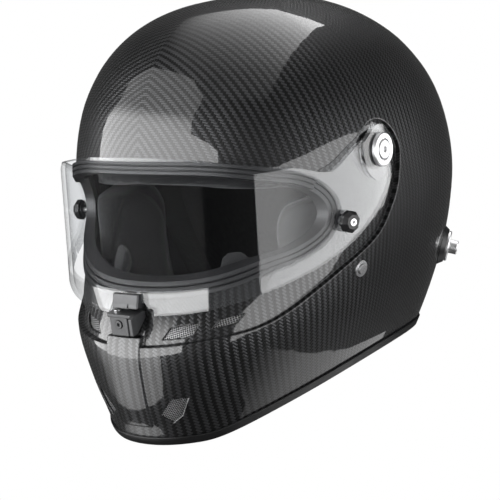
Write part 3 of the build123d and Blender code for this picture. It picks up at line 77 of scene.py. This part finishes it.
class Graph:
    """A material and short calls that add nodes to it."""

    def __init__(self, name):
        self.mat = bpy.data.materials.new(name)
        self.mat.use_nodes = True
        self.tree = self.mat.node_tree
        self.tree.nodes.clear()
        self.out = self.tree.nodes.new("ShaderNodeOutputMaterial")

    def feed(self, socket, value):
        if isinstance(value, bpy.types.NodeSocket):
            self.tree.links.new(value, socket)
        elif value is not None:
            socket.default_value = value

    def node(self, kind, inputs=None, **settings):
        made = self.tree.nodes.new("ShaderNode" + kind)
        for key, value in settings.items():
            setattr(made, key, value)
        for key, value in (inputs or {}).items():
            self.feed(made.inputs[key], value)
        return made

    def math(self, operation, *values, clamp=False):
        made = self.node("Math", operation=operation, use_clamp=clamp)
        for socket, value in zip(made.inputs, values):
            self.feed(socket, value)
        return made.outputs[0]

    def plus(self, first, second, clamp=False):
        return self.math("ADD", first, second, clamp=clamp)

    def minus(self, first, second):
        return self.math("SUBTRACT", first, second)

    def times(self, first, second):
        return self.math("MULTIPLY", first, second)

    def over(self, first, second):
        return self.math("DIVIDE", first, second)

    def wave(self, value, length):
        """A sine of that wave length."""
        return self.math("SINE", self.times(value, 2 * math.pi / length))

    def place(self):
        """Object coordinates in millimetres."""
        coords = self.node("TexCoord").outputs["Object"]
        return self.node("VectorMath", {0: coords, 1: (1000, 1000, 1000)}, operation="MULTIPLY").outputs[0]

    def split(self, vector):
        return self.node("SeparateXYZ", {0: vector}).outputs

    def noise(self, vector, scale, detail=2.0, rough=0.5):
        inputs = {"Vector": vector, "Scale": scale, "Detail": detail, "Roughness": rough}
        return self.node("TexNoise", inputs).outputs["Fac"]

    def ramp(self, value, low, high, to_low=0.0, to_high=1.0):
        inputs = {0: value, 1: low, 2: high, 3: to_low, 4: to_high}
        return self.node("MapRange", inputs, clamp=True).outputs[0]

    def blend(self, factor, first, second):
        made = self.node("Mix", data_type="RGBA")
        self.feed(made.inputs[0], factor)
        self.feed(made.inputs[6], (*first, 1) if isinstance(first, tuple) else first)
        self.feed(made.inputs[7], (*second, 1) if isinstance(second, tuple) else second)
        return made.outputs[2]

    def curve(self, value, points):
        """A smooth curve through the given points, from 0 to 1 both ways."""
        made = self.node("FloatCurve", {1: value})
        line = made.mapping.curves[0]
        for x, y in points[1:-1]:
            line.points.new(x, y)
        line.points[0].location = points[0]
        line.points[len(points) - 1].location = points[-1]
        made.mapping.update()
        return made.outputs[0]

    def bump(self, height, distance, strength=1.0, normal=None):
        inputs = {"Height": height, "Distance": distance, "Strength": strength, "Normal": normal}
        return self.node("Bump", inputs).outputs[0]

    def soft_edge(self, radius):
        """A normal that rounds hard edges off over the radius."""
        return self.node("Bevel", {"Radius": radius}, samples=6).outputs[0]

    def mix_shaders(self, share, first, second):
        return self.node("MixShader", {0: share, 1: first, 2: second}).outputs[0]

    def surface(self, shader):
        self.tree.links.new(shader, self.out.inputs["Surface"])
        return self.mat

    def principled(self, **inputs):
        shader = self.node("BsdfPrincipled", {key.replace("_", " "): value for key, value in inputs.items()})
        return self.surface(shader.outputs[0])


# ------------------------------------------------------------------ materials
# Lengths inside the node graphs are in millimetres, bump distances and edge radii in metres.

TOW_WIDTH = 1.75         # of the carbon cloth
TOW_ROUNDING = 3.6       # fall of a tow from its middle to its edges
LAY_AXIS_Y = -4.0        # the cloth runs over the crown about this level of Y
LAY_WIDEST_Z = 118.0     # and hangs straight down below this height
LAY_RADIUS = 138.0       # turns the angle over the crown into a length
LAY_WANDER = 3.0         # how far the tows stray from straight lines


def carbon():
    """Clear-coated 2x2 carbon twill, laid up in mirrored halves from each side of the helmet. Its colour
    holds a painted sheen on the tows of one direction and a painted highlight along each tow's middle.
    """
    g = Graph("carbon_twill")
    place = g.place()
    x, y, z = g.split(place)
    along = g.minus(y, LAY_AXIS_Y)
    rise = g.minus(z, LAY_WIDEST_Z)
    above = g.math("MAXIMUM", rise, 0.0)
    across = g.math("SQRT", g.plus(g.times(along, along), g.times(above, above)))
    reach = g.times(g.math("ARCTAN2", across, g.math("ABSOLUTE", x)), LAY_RADIUS)
    span = g.math("MAXIMUM", across, 0.01)
    wander = g.times(g.minus(g.noise(place, 0.012, 1.0), 0.5), LAY_WANDER)
    s = g.plus(g.over(g.times(reach, along), span), wander)
    t = g.plus(g.over(g.times(reach, above), span), g.math("MINIMUM", rise, 0.0))
    pitch = TOW_WIDTH * math.sqrt(2)
    a = g.over(g.plus(s, t), pitch)
    b = g.over(g.minus(s, t), pitch)
    step = g.plus(g.math("FLOOR", a), g.math("FLOOR", b))
    warp = g.math("LESS_THAN", g.math("FLOORED_MODULO", step, 4.0), 1.5)

    def across_tow(turns):
        inside = g.minus(g.math("FRACT", turns), 0.5)
        return g.minus(1.0, g.times(g.times(inside, inside), TOW_ROUNDING))

    height = g.plus(g.times(warp, across_tow(a)), g.times(g.minus(1.0, warp), across_tow(b)))
    fine = g.node("CombineXYZ", {0: g.times(a, 9.0), 1: g.times(b, 9.0), 2: 0.0}).outputs[0]
    fibre = g.noise(fine, 1.0, 2.0)
    # Painted highlight: each tow's colour is brighter along its middle, where its rounding catches the
    # light, and darker towards its edges.
    light = g.times(height, g.ramp(fibre, 0.3, 0.7, 0.75, 1.0))
    dim_tow_painted_highlight = g.blend(light, (0.0015, 0.0015, 0.0016), (0.006, 0.006, 0.0065))
    # Painted sheen: the tows of the direction the twill puts on top take this much lighter colour, standing
    # in for the fibres' directional reflection.
    bright_tow_painted_sheen = g.blend(light, (0.012, 0.0122, 0.013), (0.07, 0.0715, 0.075))
    # Noise that varies the strength of the painted sheen at random.
    broad = g.ramp(g.noise(place, 0.03, 2.0), 0.35, 0.65, 0.75, 1.0)
    edge = g.soft_edge(0.0013)
    return g.principled(
        Base_Color=g.blend(g.times(warp, broad), dim_tow_painted_highlight, bright_tow_painted_sheen), Metallic=0.6,
        Roughness=g.ramp(fibre, 0.3, 0.7, 0.34, 0.46), Normal=g.bump(height, 0.00022, 0.8, edge),
        Coat_Weight=1.0, Coat_Roughness=0.025, Coat_IOR=1.52,
        Coat_Normal=g.bump(g.noise(place, 0.11, 1.0), 0.00003, 0.5, edge))


def rubber(name, tone=1.0):
    """Satin black rubber, lighter by the tone."""
    g = Graph(name)
    place = g.place()
    broad = g.noise(place, 0.05, 2.0)
    dark = (0.009 * tone, 0.009 * tone, 0.0095 * tone)
    light = (0.021 * tone, 0.021 * tone, 0.022 * tone)
    return g.principled(
        Base_Color=g.blend(broad, dark, light), Roughness=g.ramp(broad, 0.3, 0.7, 0.34, 0.46),
        Normal=g.bump(g.noise(place, 1.6, 3.0), 0.00008, 0.5, g.soft_edge(0.0008)), Specular_IOR_Level=0.5)


WIRE_PITCH = 1.3
WIRE_SLANT = 0.25        # the screen's wires lean this much from upright


def wire_screen():
    """Square woven wire: light wires, with the holes between them painted near black as painted shade."""
    g = Graph("woven_wire")
    x, y, z = g.split(g.place())
    across = g.over(g.plus(x, g.times(z, WIRE_SLANT)), WIRE_PITCH)
    up = g.over(g.minus(z, g.times(x, WIRE_SLANT)), WIRE_PITCH)
    from_wire = [g.math("ABSOLUTE", g.minus(g.math("FRACT", turns), 0.5)) for turns in (across, up)]
    wires = [g.ramp(away, 0.09, 0.17, 1.0, 0.0) for away in from_wire]
    checker = g.math("FLOORED_MODULO", g.plus(g.math("FLOOR", across), g.math("FLOOR", up)), 2.0)
    upper = g.blend(checker, wires[0], wires[1])
    cover = g.math("MAXIMUM", wires[0], wires[1])
    # Between the wires, the near-black colour is painted shade standing in for the dark vent seen through
    # the holes.
    return g.principled(
        Base_Color=g.blend(cover, (0.003, 0.003, 0.003), (0.5, 0.5, 0.51)), Metallic=g.times(cover, 0.8),
        Roughness=g.ramp(cover, 0.0, 1.0, 0.9, 0.34),
        Normal=g.bump(g.plus(cover, g.times(upper, 0.35)), 0.0005, 1.0))


def plastic():
    """Black plastic with a fine moulded grain."""
    g = Graph("grained_plastic")
    place = g.place()
    grain = g.node("TexVoronoi", {"Vector": place, "Scale": 1.9}).outputs["Distance"]
    return g.principled(
        Base_Color=g.blend(g.noise(place, 0.12, 2.0), (0.008, 0.008, 0.0085), (0.02, 0.02, 0.021)),
        Roughness=g.ramp(grain, 0.1, 0.7, 0.3, 0.42),
        Normal=g.bump(grain, 0.00006, 0.6, g.soft_edge(0.0005)))


def metal(name, dark, bright, rough, grain_scale, metallic=1.0, coat=0.0, edge=0.0004):
    """Metal with fine grain, brighter where its edges are rubbed."""
    g = Graph(name)
    place = g.place()
    fine = g.noise(place, grain_scale, 3.0, 0.6)
    worn = g.ramp(g.node("NewGeometry").outputs["Pointiness"], 0.52, 0.6, 0.0, 1.0)
    mixed = g.plus(g.times(g.noise(place, 0.25, 2.0), 0.6), g.times(worn, 0.5), clamp=True)
    return g.principled(
        Base_Color=g.blend(mixed, dark, bright), Metallic=metallic,
        Roughness=g.ramp(fine, 0.3, 0.7, rough - 0.05, rough + 0.07),
        Normal=g.bump(fine, 0.00003, 0.6, g.soft_edge(edge)), Coat_Weight=coat, Coat_Roughness=0.2)


def foam_beads():
    """Expanded foam with the outlines of its beads."""
    g = Graph("foam_beads")
    place = g.place()
    beads = g.node("TexVoronoi", {"Vector": place, "Scale": 0.28}).outputs["Distance"]
    return g.principled(
        Base_Color=g.blend(g.noise(place, 0.4, 2.0), (0.012, 0.012, 0.013), (0.032, 0.032, 0.034)),
        Roughness=g.ramp(beads, 0.1, 0.8, 0.62, 0.8), Normal=g.bump(beads, 0.0006, 0.7))


def knit(name, dark=(0.014, 0.014, 0.015), light=(0.05, 0.05, 0.053)):
    """Brushed knit: fine loops under a short nap."""
    g = Graph(name)
    place = g.place()
    x, y, z = g.split(place)
    course = g.wave(g.plus(z, g.times(y, 0.35)), 1.15)
    wale = g.wave(g.plus(g.plus(x, y), g.times(course, 0.12)), 1.0)
    loops = g.times(g.plus(g.times(course, wale), 1.0), 0.5)
    nap = g.noise(place, 2.2, 4.0, 0.7)
    patches = g.noise(place, 0.07, 3.0)
    # The loops term is painted shade, darker between the loops; the nap and patches vary the tone at random.
    tone = g.plus(g.times(loops, 0.3), g.plus(g.times(nap, 0.45), g.times(patches, 0.35)), clamp=True)
    return g.principled(
        Base_Color=g.blend(tone, dark, light), Roughness=g.ramp(nap, 0.3, 0.7, 0.82, 0.97),
        Normal=g.bump(g.plus(g.times(loops, 0.5), nap), 0.00035, 0.7), Sheen_Weight=0.55,
        Sheen_Roughness=0.45, Specular_IOR_Level=0.2)


def webbing():
    """Flat webbing: ribs across the weave, seen at any turn of the strap."""
    g = Graph("flat_webbing")
    place = g.place()
    x, y, z = g.split(place)
    ribs = g.wave(g.plus(y, g.times(x, 0.18)), 1.9)
    picks = g.wave(g.plus(x, z), 1.3)
    height = g.plus(ribs, g.times(picks, g.times(ribs, 0.8)))
    fuzz = g.noise(place, 2.5, 3.0)
    # Painted shade: the colour follows the ribs' height, darker down in the grooves between them, and it
    # varies with the fuzz at random.
    tone = g.times(g.ramp(height, -1.6, 1.6), g.ramp(fuzz, 0.3, 0.7, 0.7, 1.0))
    return g.principled(
        Base_Color=g.blend(tone, (0.008, 0.008, 0.009), (0.04, 0.04, 0.043)),
        Roughness=g.ramp(fuzz, 0.3, 0.7, 0.6, 0.8), Normal=g.bump(height, 0.0003, 0.9), Sheen_Weight=0.2,
        Specular_IOR_Level=0.35)


# Outline of the visor's sight field: (share of the way back, share of the way up) between these limits.
FIELD_FRONT, FIELD_BACK = -170.0, -60.0
FIELD_LOW, FIELD_HIGH = 100.0, 200.0
FIELD_TOP = [(0, 0.897), (0.27, 0.893), (0.364, 0.865), (0.533, 0.804), (0.748, 0.705), (0.883, 0.585),
             (0.95, 0.427)]
FIELD_BOTTOM = [(0, 0.04), (0.119, 0.046), (0.215, 0.059), (0.385, 0.085), (0.633, 0.148), (0.855, 0.262),
                (0.95, 0.427)]
FIELD_END = 0.945        # share of the way back at which the field ends
SHEET_IOR = 1.58


def clear_sheet():
    """Clear polycarbonate: light passes, its faces mirror the studio, less so in the coated sight field and
    hardly at all at its front. A trace of haze lies over it, more of it outside the field."""
    g = Graph("clear_polycarbonate")
    place = g.place()
    x, y, z = g.split(place)
    along = g.ramp(y, FIELD_FRONT, FIELD_BACK)
    level = g.ramp(z, FIELD_LOW, FIELD_HIGH)
    top = g.curve(along, FIELD_TOP)
    bottom = g.curve(along, FIELD_BOTTOM)
    field = g.times(g.math("LESS_THAN", level, top), g.math("GREATER_THAN", level, bottom))
    field = g.times(field, g.math("LESS_THAN", along, FIELD_END))
    aside = g.math("ABSOLUTE", x)
    dull = g.times(g.ramp(aside, 62.0, 84.0, 0.02, 0.52), g.ramp(aside, 95.0, 104.0, 1.0, 0.45))
    haze = g.blend(g.noise(place, 0.35, 3.0), (0.5, 0.51, 0.52), (0.62, 0.63, 0.64))
    marks = g.bump(g.noise(place, 0.02, 1.0), 0.0004, 0.25)
    through = g.node("BsdfTransparent", {"Color": (0.93, 0.935, 0.94, 1)}).outputs[0]
    mirror = g.node("BsdfGlossy", {"Color": (1, 1, 1, 1), "Roughness": 0.02, "Normal": marks}).outputs[0]
    milk = g.node("BsdfDiffuse", {"Color": haze}).outputs[0]
    inner = g.node("NewGeometry").outputs["Backfacing"]
    fresnel = g.node("Fresnel", {"IOR": g.ramp(inner, 0.0, 1.0, SHEET_IOR, 1 / SHEET_IOR)}).outputs[0]
    share = g.times(fresnel, g.plus(1.0, g.times(field, g.minus(dull, 1.0))))
    pane = g.mix_shaders(share, through, mirror)
    return g.surface(g.mix_shaders(g.ramp(field, 0.0, 1.0, 0.035, 0.004), pane, milk))


MATERIALS = {
    "carbon_shell": carbon(),
    "rubber": rubber("satin_rubber"),
    "vent_mesh": wire_screen(),
    "black_plastic": plastic(),
    "satin_alloy": metal("satin_alloy", (0.74, 0.74, 0.75), (0.93, 0.93, 0.94), 0.38, 2.4),
    "zinc_steel": metal("plated_steel", (0.42, 0.42, 0.43), (0.7, 0.7, 0.71), 0.3, 1.6),
    "grey_metal": metal("anthracite_coating", (0.016, 0.0165, 0.018), (0.06, 0.061, 0.064), 0.34, 2.0,
                        metallic=0.35, coat=0.25, edge=0.0009),
    "foam": foam_beads(),
    "liner_cloth": knit("brushed_knit"),
    "webbing": webbing(),
    "clear_visor": clear_sheet(),
}
SEAL_SHEEN_TONE = 3.6          # the eyeport's seal: the lower trim's rubber made lighter, a painted grey sheen


def dress(obj, material):
    obj.data.materials.clear()
    obj.data.materials.append(material)


for name, node in NODES.items():
    dress(node, MATERIALS[SLOT_OF[name]])
# The seal's lighter colour is a painted sheen on the trim's black rubber.
dress(NODES["eyeport_gasket"], rubber("seal_rubber_painted_sheen", SEAL_SHEEN_TONE))


# ------------------------------------------------------------------ soft goods
# Lengths from here on are in metres.

PRESSURE = 4.0           # of the air that swells the pads
SWELL_FRAMES = 20
TINY = 1e-9


def vertices_of(mesh):
    co = np.empty(len(mesh.vertices) * 3)
    mesh.vertices.foreach_get("co", co)
    return co.reshape(-1, 3)


def normals_of(mesh):
    out = np.empty(len(mesh.vertices) * 3)
    mesh.vertex_normals.foreach_get("vector", out)
    return out.reshape(-1, 3)


def set_vertices(mesh, co):
    mesh.vertices.foreach_set("co", np.ascontiguousarray(co, dtype=np.float32).ravel())
    mesh.update()


def baked(obj):
    """Applies the modifiers of obj to its mesh."""
    bpy.context.view_layer.update()
    seen = obj.evaluated_get(bpy.context.evaluated_depsgraph_get())
    mesh = bpy.data.meshes.new_from_object(seen)
    obj.modifiers.clear()
    old = obj.data
    obj.data = mesh
    bpy.data.meshes.remove(old)
    return mesh


def remeshed(obj, voxel):
    even = obj.modifiers.new("even", "REMESH")
    even.mode = "VOXEL"
    even.voxel_size = voxel
    return baked(obj)


def rounded(co, power):
    """The same points, with the corners of their box pulled in towards a pillow."""
    low = co.min(axis=0)
    high = co.max(axis=0)
    centre = (low + high) / 2
    unit = (co - centre) / ((high - low) / 2)
    box = np.max(np.abs(unit), axis=1)
    pillow = np.sum(np.abs(unit) ** power, axis=1) ** (1 / power)
    return centre + (co - centre) * (box / np.maximum(pillow, TINY))[:, None]


def pad_start(node, name, voxel, draw_in, power):
    """A copy of a CAD pad, remeshed evenly and drawn in a little before it swells."""
    obj = add_object(name, NODES[node].data.copy())
    if power:
        mesh = remeshed(obj, voxel / 2)
        set_vertices(mesh, rounded(vertices_of(mesh), power))
    remeshed(obj, voxel)
    smooth = obj.modifiers.new("soft", "SMOOTH")
    smooth.factor = 0.5
    smooth.iterations = 4
    mesh = baked(obj)
    set_vertices(mesh, vertices_of(mesh) - normals_of(mesh) * draw_in)
    return obj


def swell(obj, held, cap):
    """Cloth under pressure, held where held() says, no point moving more than cap."""
    rest = vertices_of(obj.data)
    held_points = [i for i, p in enumerate(rest) if held(p)]
    group = obj.vertex_groups.new(name="held")
    group.add(held_points, 1.0, "REPLACE")
    cloth = obj.modifiers.new("cloth", "CLOTH")
    cloth.settings.use_pressure = True
    cloth.settings.uniform_pressure_force = PRESSURE
    cloth.settings.effector_weights.gravity = 0
    cloth.settings.vertex_group_mass = "held"
    cloth.settings.quality = 4
    cloth.point_cache.frame_start = 1
    cloth.point_cache.frame_end = SWELL_FRAMES
    for step in range(1, SWELL_FRAMES + 1):
        bpy.context.scene.frame_set(step)
    mesh = baked(obj)
    move = vertices_of(mesh) - rest
    length = np.linalg.norm(move, axis=1, keepdims=True)
    set_vertices(mesh, rest + move * np.minimum(1, cap / np.maximum(length, TINY)))
    obj.vertex_groups.clear()


def finish_pad(obj, node, material):
    sub = obj.modifiers.new("smooth", "SUBSURF")
    sub.levels = 1
    sub.render_levels = 1
    baked(obj)
    for poly in obj.data.polygons:
        poly.use_smooth = True
    dress(obj, material)
    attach(obj, "shell")
    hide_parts(node)


def groove(obj, distance, depth, width):
    """Presses a sewn channel into the pad where distance() of a point is near zero."""
    mesh = obj.data
    co = vertices_of(mesh)
    near = np.exp(-((distance(co) / width) ** 2))
    set_vertices(mesh, co - normals_of(mesh) * (depth * near)[:, None])


def nowhere(point):
    return False


def soft_pad(node, name, voxel, draw_in, cap, held=nowhere, seam=None, power=None,
             material=MATERIALS["liner_cloth"]):
    """A cushion in place of a CAD pad. The seam is (distance(), depth, width) of a sewn channel."""
    obj = pad_start(node, name, voxel, draw_in, power)
    swell(obj, held, cap)
    finish_pad(obj, node, material)
    if seam:
        groove(obj, *seam)


CHEEK_SEAM_Y, CHEEK_SEAM_Z = -0.054, 0.098
CHEEK_SEAM_HALF_LONG, CHEEK_SEAM_HALF_HIGH, CHEEK_SEAM_MEAN = 0.031, 0.047, 0.036
CHEEK_FACE_X = 0.095     # only the face nearer the middle than this has the seam
CHEEK_HELD = 0.009       # thickness of the cheek pads' outer side that doesn't swell
BROW_SEAM_Z, BROW_FRONT_Y = 0.165, -0.08
NECK_SEAM_Z = 0.0065
CROWN_SEAM_X = 0.034
NO_SEAM = 0.05           # distance that stands for a point away from every seam
CHIN_POWER = 3.0         # roundness of the chin cushions


def cheek_seam(side):
    """Seam of a cheek pad: parallel to its outline on the face that meets the cheek."""
    def distance(co):
        y = co[:, 1] - CHEEK_SEAM_Y
        z = co[:, 2] - CHEEK_SEAM_Z
        radius = np.sqrt((y / CHEEK_SEAM_HALF_LONG) ** 2 + (z / CHEEK_SEAM_HALF_HIGH) ** 2)
        return (radius - 1) * CHEEK_SEAM_MEAN + np.where(co[:, 0] * side < CHEEK_FACE_X, 0, NO_SEAM)
    return distance


def brow_seam(co):
    return np.where(co[:, 1] < BROW_FRONT_Y, co[:, 2] - BROW_SEAM_Z, NO_SEAM)


def neck_seam(co):
    return co[:, 2] - NECK_SEAM_Z


def crown_seam(co):
    return np.abs(co[:, 0]) - CROWN_SEAM_X


face_knit = knit("face_knit", (0.035, 0.035, 0.036), (0.12, 0.12, 0.123))
for side, word in ((1, "left"), (-1, "right")):
    low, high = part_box("cheek_pad_" + word)
    outer = max(abs(low.x), abs(high.x))
    soft_pad("cheek_pad_" + word, "cheek_cushion_" + word, voxel=0.004, draw_in=0.003, cap=0.005,
             held=lambda p, outer=outer, side=side: p[0] * side > outer - CHEEK_HELD,
             seam=(cheek_seam(side), 0.0016, 0.0022), material=face_knit)
    soft_pad("chin_pad_" + word, "chin_cushion_" + word, voxel=0.003, draw_in=0.001, cap=0.002,
             power=CHIN_POWER, material=face_knit)

soft_pad("brow_pad", "brow_cushion", voxel=0.004, draw_in=0.002, cap=0.0025,
         seam=(brow_seam, 0.0012, 0.002))
soft_pad("neck_roll", "neck_cushion", voxel=0.004, draw_in=0.002, cap=0.003,
         seam=(neck_seam, 0.0014, 0.0018))
soft_pad("crown_liner", "crown_lining", voxel=0.0045, draw_in=0.001, cap=0.001,
         seam=(crown_seam, 0.0016, 0.003))

STRAP_EDGE = 0.0005      # rounding of the webbing's edges

for word in ("left", "right"):
    node = "chin_strap_" + word
    strap = add_object("strap_" + word, NODES[node].data.copy())
    bevel = strap.modifiers.new("edge", "BEVEL")
    bevel.width = STRAP_EDGE
    bevel.segments = 2
    bevel.limit_method = "ANGLE"
    baked(strap)
    dress(strap, MATERIALS["webbing"])
    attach(strap, "shell")
    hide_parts(node)


# ----------------------------------------------------------- studio and camera

UPRIGHT = (0, 0, 1)


def axes(across, up, back):
    return Matrix((across, up, back)).transposed().to_4x4()


def aim(obj, origin, x_axis, y_axis):
    """Places obj with its own X and Y along these; it then faces along minus their cross product."""
    across = Vector(x_axis).normalized()
    up = (Vector(y_axis) - Vector(y_axis).dot(across) * across).normalized()
    obj.matrix_world = Matrix.Translation(Vector(origin)) @ axes(across, up, across.cross(up))


def panel(name, centre, across, up, width, height, low, high, glossy=True, turn=(0.0, 1.0), fade=0.0):
    """A rectangular soft light. Its radiance runs from low to high between the two turn shares of its
    height, and falls to nothing over the fade share of its width at its left end."""
    data = bpy.data.lights.new(name, "AREA")
    data.shape = "RECTANGLE"
    data.size = width
    data.size_y = height
    data.energy = math.pi * width * height
    data.use_nodes = True
    tree = data.node_tree
    emission = next(n for n in tree.nodes if n.type == "EMISSION")
    where = tree.nodes.new("ShaderNodeNewGeometry")
    split = tree.nodes.new("ShaderNodeSeparateXYZ")
    tree.links.new(where.outputs["Parametric"], split.inputs[0])
    shade = tree.nodes.new("ShaderNodeMapRange")
    shade.interpolation_type = "SMOOTHSTEP"
    tree.links.new(split.outputs["Y"], shade.inputs[0])
    for slot, value in zip((1, 2, 3, 4), (*turn, low, high)):
        shade.inputs[slot].default_value = value
    side = tree.nodes.new("ShaderNodeMapRange")
    tree.links.new(split.outputs["X"], side.inputs[0])
    side.inputs[2].default_value = max(fade, 0.001)
    both = tree.nodes.new("ShaderNodeMath")
    both.operation = "MULTIPLY"
    tree.links.new(shade.outputs[0], both.inputs[0])
    tree.links.new(side.outputs[0], both.inputs[1])
    tree.links.new(both.outputs[0], emission.inputs["Strength"])
    obj = add_object(name, data)
    aim(obj, centre, across, up)
    obj.visible_camera = False
    obj.visible_diffuse = not glossy
    obj.visible_glossy = glossy


def around(azimuth, distance, aside, height):
    """A point that far out at the azimuth, moved aside, and the direction of rising azimuth there."""
    a = math.radians(azimuth)
    out = Vector((math.sin(a), -math.cos(a), 0))
    along = Vector((math.cos(a), math.sin(a), 0))
    return out * distance + along * aside + Vector((0, 0, height)), along


def standing(name, azimuth, distance, aside, height, *measures, **ways):
    """An upright panel that faces the helmet."""
    centre, along = around(azimuth, distance, aside, height)
    panel(name, centre, along, UPRIGHT, *measures, **ways)


# The mirrored panels: name, azimuth, distance, aside, height, then width, height and both radiances.
standing("right_box", 92, 1.1, 0.25, 0.02, 2.33, 0.66, 3.5, 3.5)
standing("left_box", -30, 1.1, 0.1, 0.32, 2.24, 0.8, 5.8, 4.6)
standing("left_high", -30, 1.1, -0.2, 1.3075, 1.64, 1.175, 4.0, 1.1, turn=(0.0, 0.3))
standing("left_low", -30, 1.1, -0.19, -0.3675, 1.655, 0.575, 2.0, 2.6, fade=0.5)

# One that lies low and looks up at the chin, and one that hangs over the crown.
centre, along = around(122, 0.418, 0, -0.498)
panel("low_kicker", centre, along, Vector(centre).normalized().cross(along), 1.0, 0.19, 0.9, 1.1, fade=0.4)
TOP_WIDTH, TOP_LENGTH = 1.3, 2.4
top_corner = Vector((-0.07, 1.63, 1.27))
top_forward = Vector((0.431, -0.902, 0))
top_aside = Vector((-0.902, -0.431, 0))
top_middle = top_corner + top_forward * (TOP_LENGTH / 2) + top_aside * (TOP_WIDTH / 2)
panel("top_box", top_middle, -top_aside, -top_forward, TOP_WIDTH, TOP_LENGTH, 0.2, 4.6, fade=1.0)

# The fills light the matte surfaces and aren't mirrored.
standing("front_fill", 10, 1.6, 0, 1.3, 1.6, 1.2, 1.8, 1.8, glossy=False)
standing("side_fill", 110, 1.6, 0, 1.0, 1.6, 1.2, 0.9, 0.9, glossy=False)
standing("rear_fill", -120, 1.6, 0, 1.0, 1.6, 1.2, 0.6, 0.6, glossy=False)

SKY_LIGHT = (0.4, 0.4, 0.41, 1)
SKY_MIRRORED = (0.06, 0.06, 0.06, 1)
WHITE = (1, 1, 1, 1)

world = bpy.data.worlds.new("studio")
bpy.context.scene.world = world
world.use_nodes = True
sky = world.node_tree
background = sky.nodes["Background"]
path = sky.nodes.new("ShaderNodeLightPath")
mirrored = sky.nodes.new("ShaderNodeMix")
mirrored.data_type = "RGBA"
mirrored.inputs[6].default_value = SKY_LIGHT
mirrored.inputs[7].default_value = SKY_MIRRORED
sky.links.new(path.outputs["Is Glossy Ray"], mirrored.inputs[0])
seen = sky.nodes.new("ShaderNodeMix")
seen.data_type = "RGBA"
seen.inputs[7].default_value = WHITE
sky.links.new(mirrored.outputs[2], seen.inputs[6])
sky.links.new(path.outputs["Is Camera Ray"], seen.inputs[0])
sky.links.new(seen.outputs[2], background.inputs["Color"])
background.inputs["Strength"].default_value = 1.0


def floor_material():
    """A pale matte floor that the camera itself sees as plain white."""
    g = Graph("pale_floor")
    speck = g.noise(g.place(), 0.02, 2.0)
    matte = g.node("BsdfDiffuse", {"Color": g.blend(speck, (0.8, 0.8, 0.8), (0.84, 0.84, 0.84))}).outputs[0]
    white = g.node("Emission", {"Color": WHITE, "Strength": 1.0}).outputs[0]
    return g.surface(g.mix_shaders(g.node("LightPath").outputs["Is Camera Ray"], matte, white))


FLOOR_RADIUS = 0.55
FLOOR_SIDES = 96
FLOOR_Z = -0.0005

disc = bmesh.new()
turns = [2 * math.pi * i / FLOOR_SIDES for i in range(FLOOR_SIDES)]
rim = [(FLOOR_RADIUS * math.cos(a), FLOOR_RADIUS * math.sin(a), FLOOR_Z) for a in turns]
disc.faces.new([disc.verts.new(point) for point in rim])
floor_mesh = bpy.data.meshes.new("floor")
disc.to_mesh(floor_mesh)
disc.free()
floor = add_object("floor", floor_mesh)
dress(floor, floor_material())
floor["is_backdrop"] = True
floor.visible_glossy = False

# The photo's camera, from the fit of the form to the picture.
CAMERA_AT = (0.6921, -0.9160, 0.3788)
CAMERA_RIGHT = (0.8035, 0.5828, -0.1213)
CAMERA_BACK = (0.5934, -0.7675, 0.2427)
CAMERA_LENS = 115.36
CAMERA_FILM = 36

camera = add_object("camera", bpy.data.cameras.new("camera"))
bpy.context.scene.camera = camera
camera.data.lens = CAMERA_LENS
camera.data.sensor_width = CAMERA_FILM
right = Vector(CAMERA_RIGHT).normalized()
up = Vector(CAMERA_BACK).normalized().cross(right).normalized()
camera.matrix_world = Matrix.Translation(CAMERA_AT) @ axes(right, up, right.cross(up))

bpy.context.scene.view_settings.view_transform = "Standard"

low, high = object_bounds()
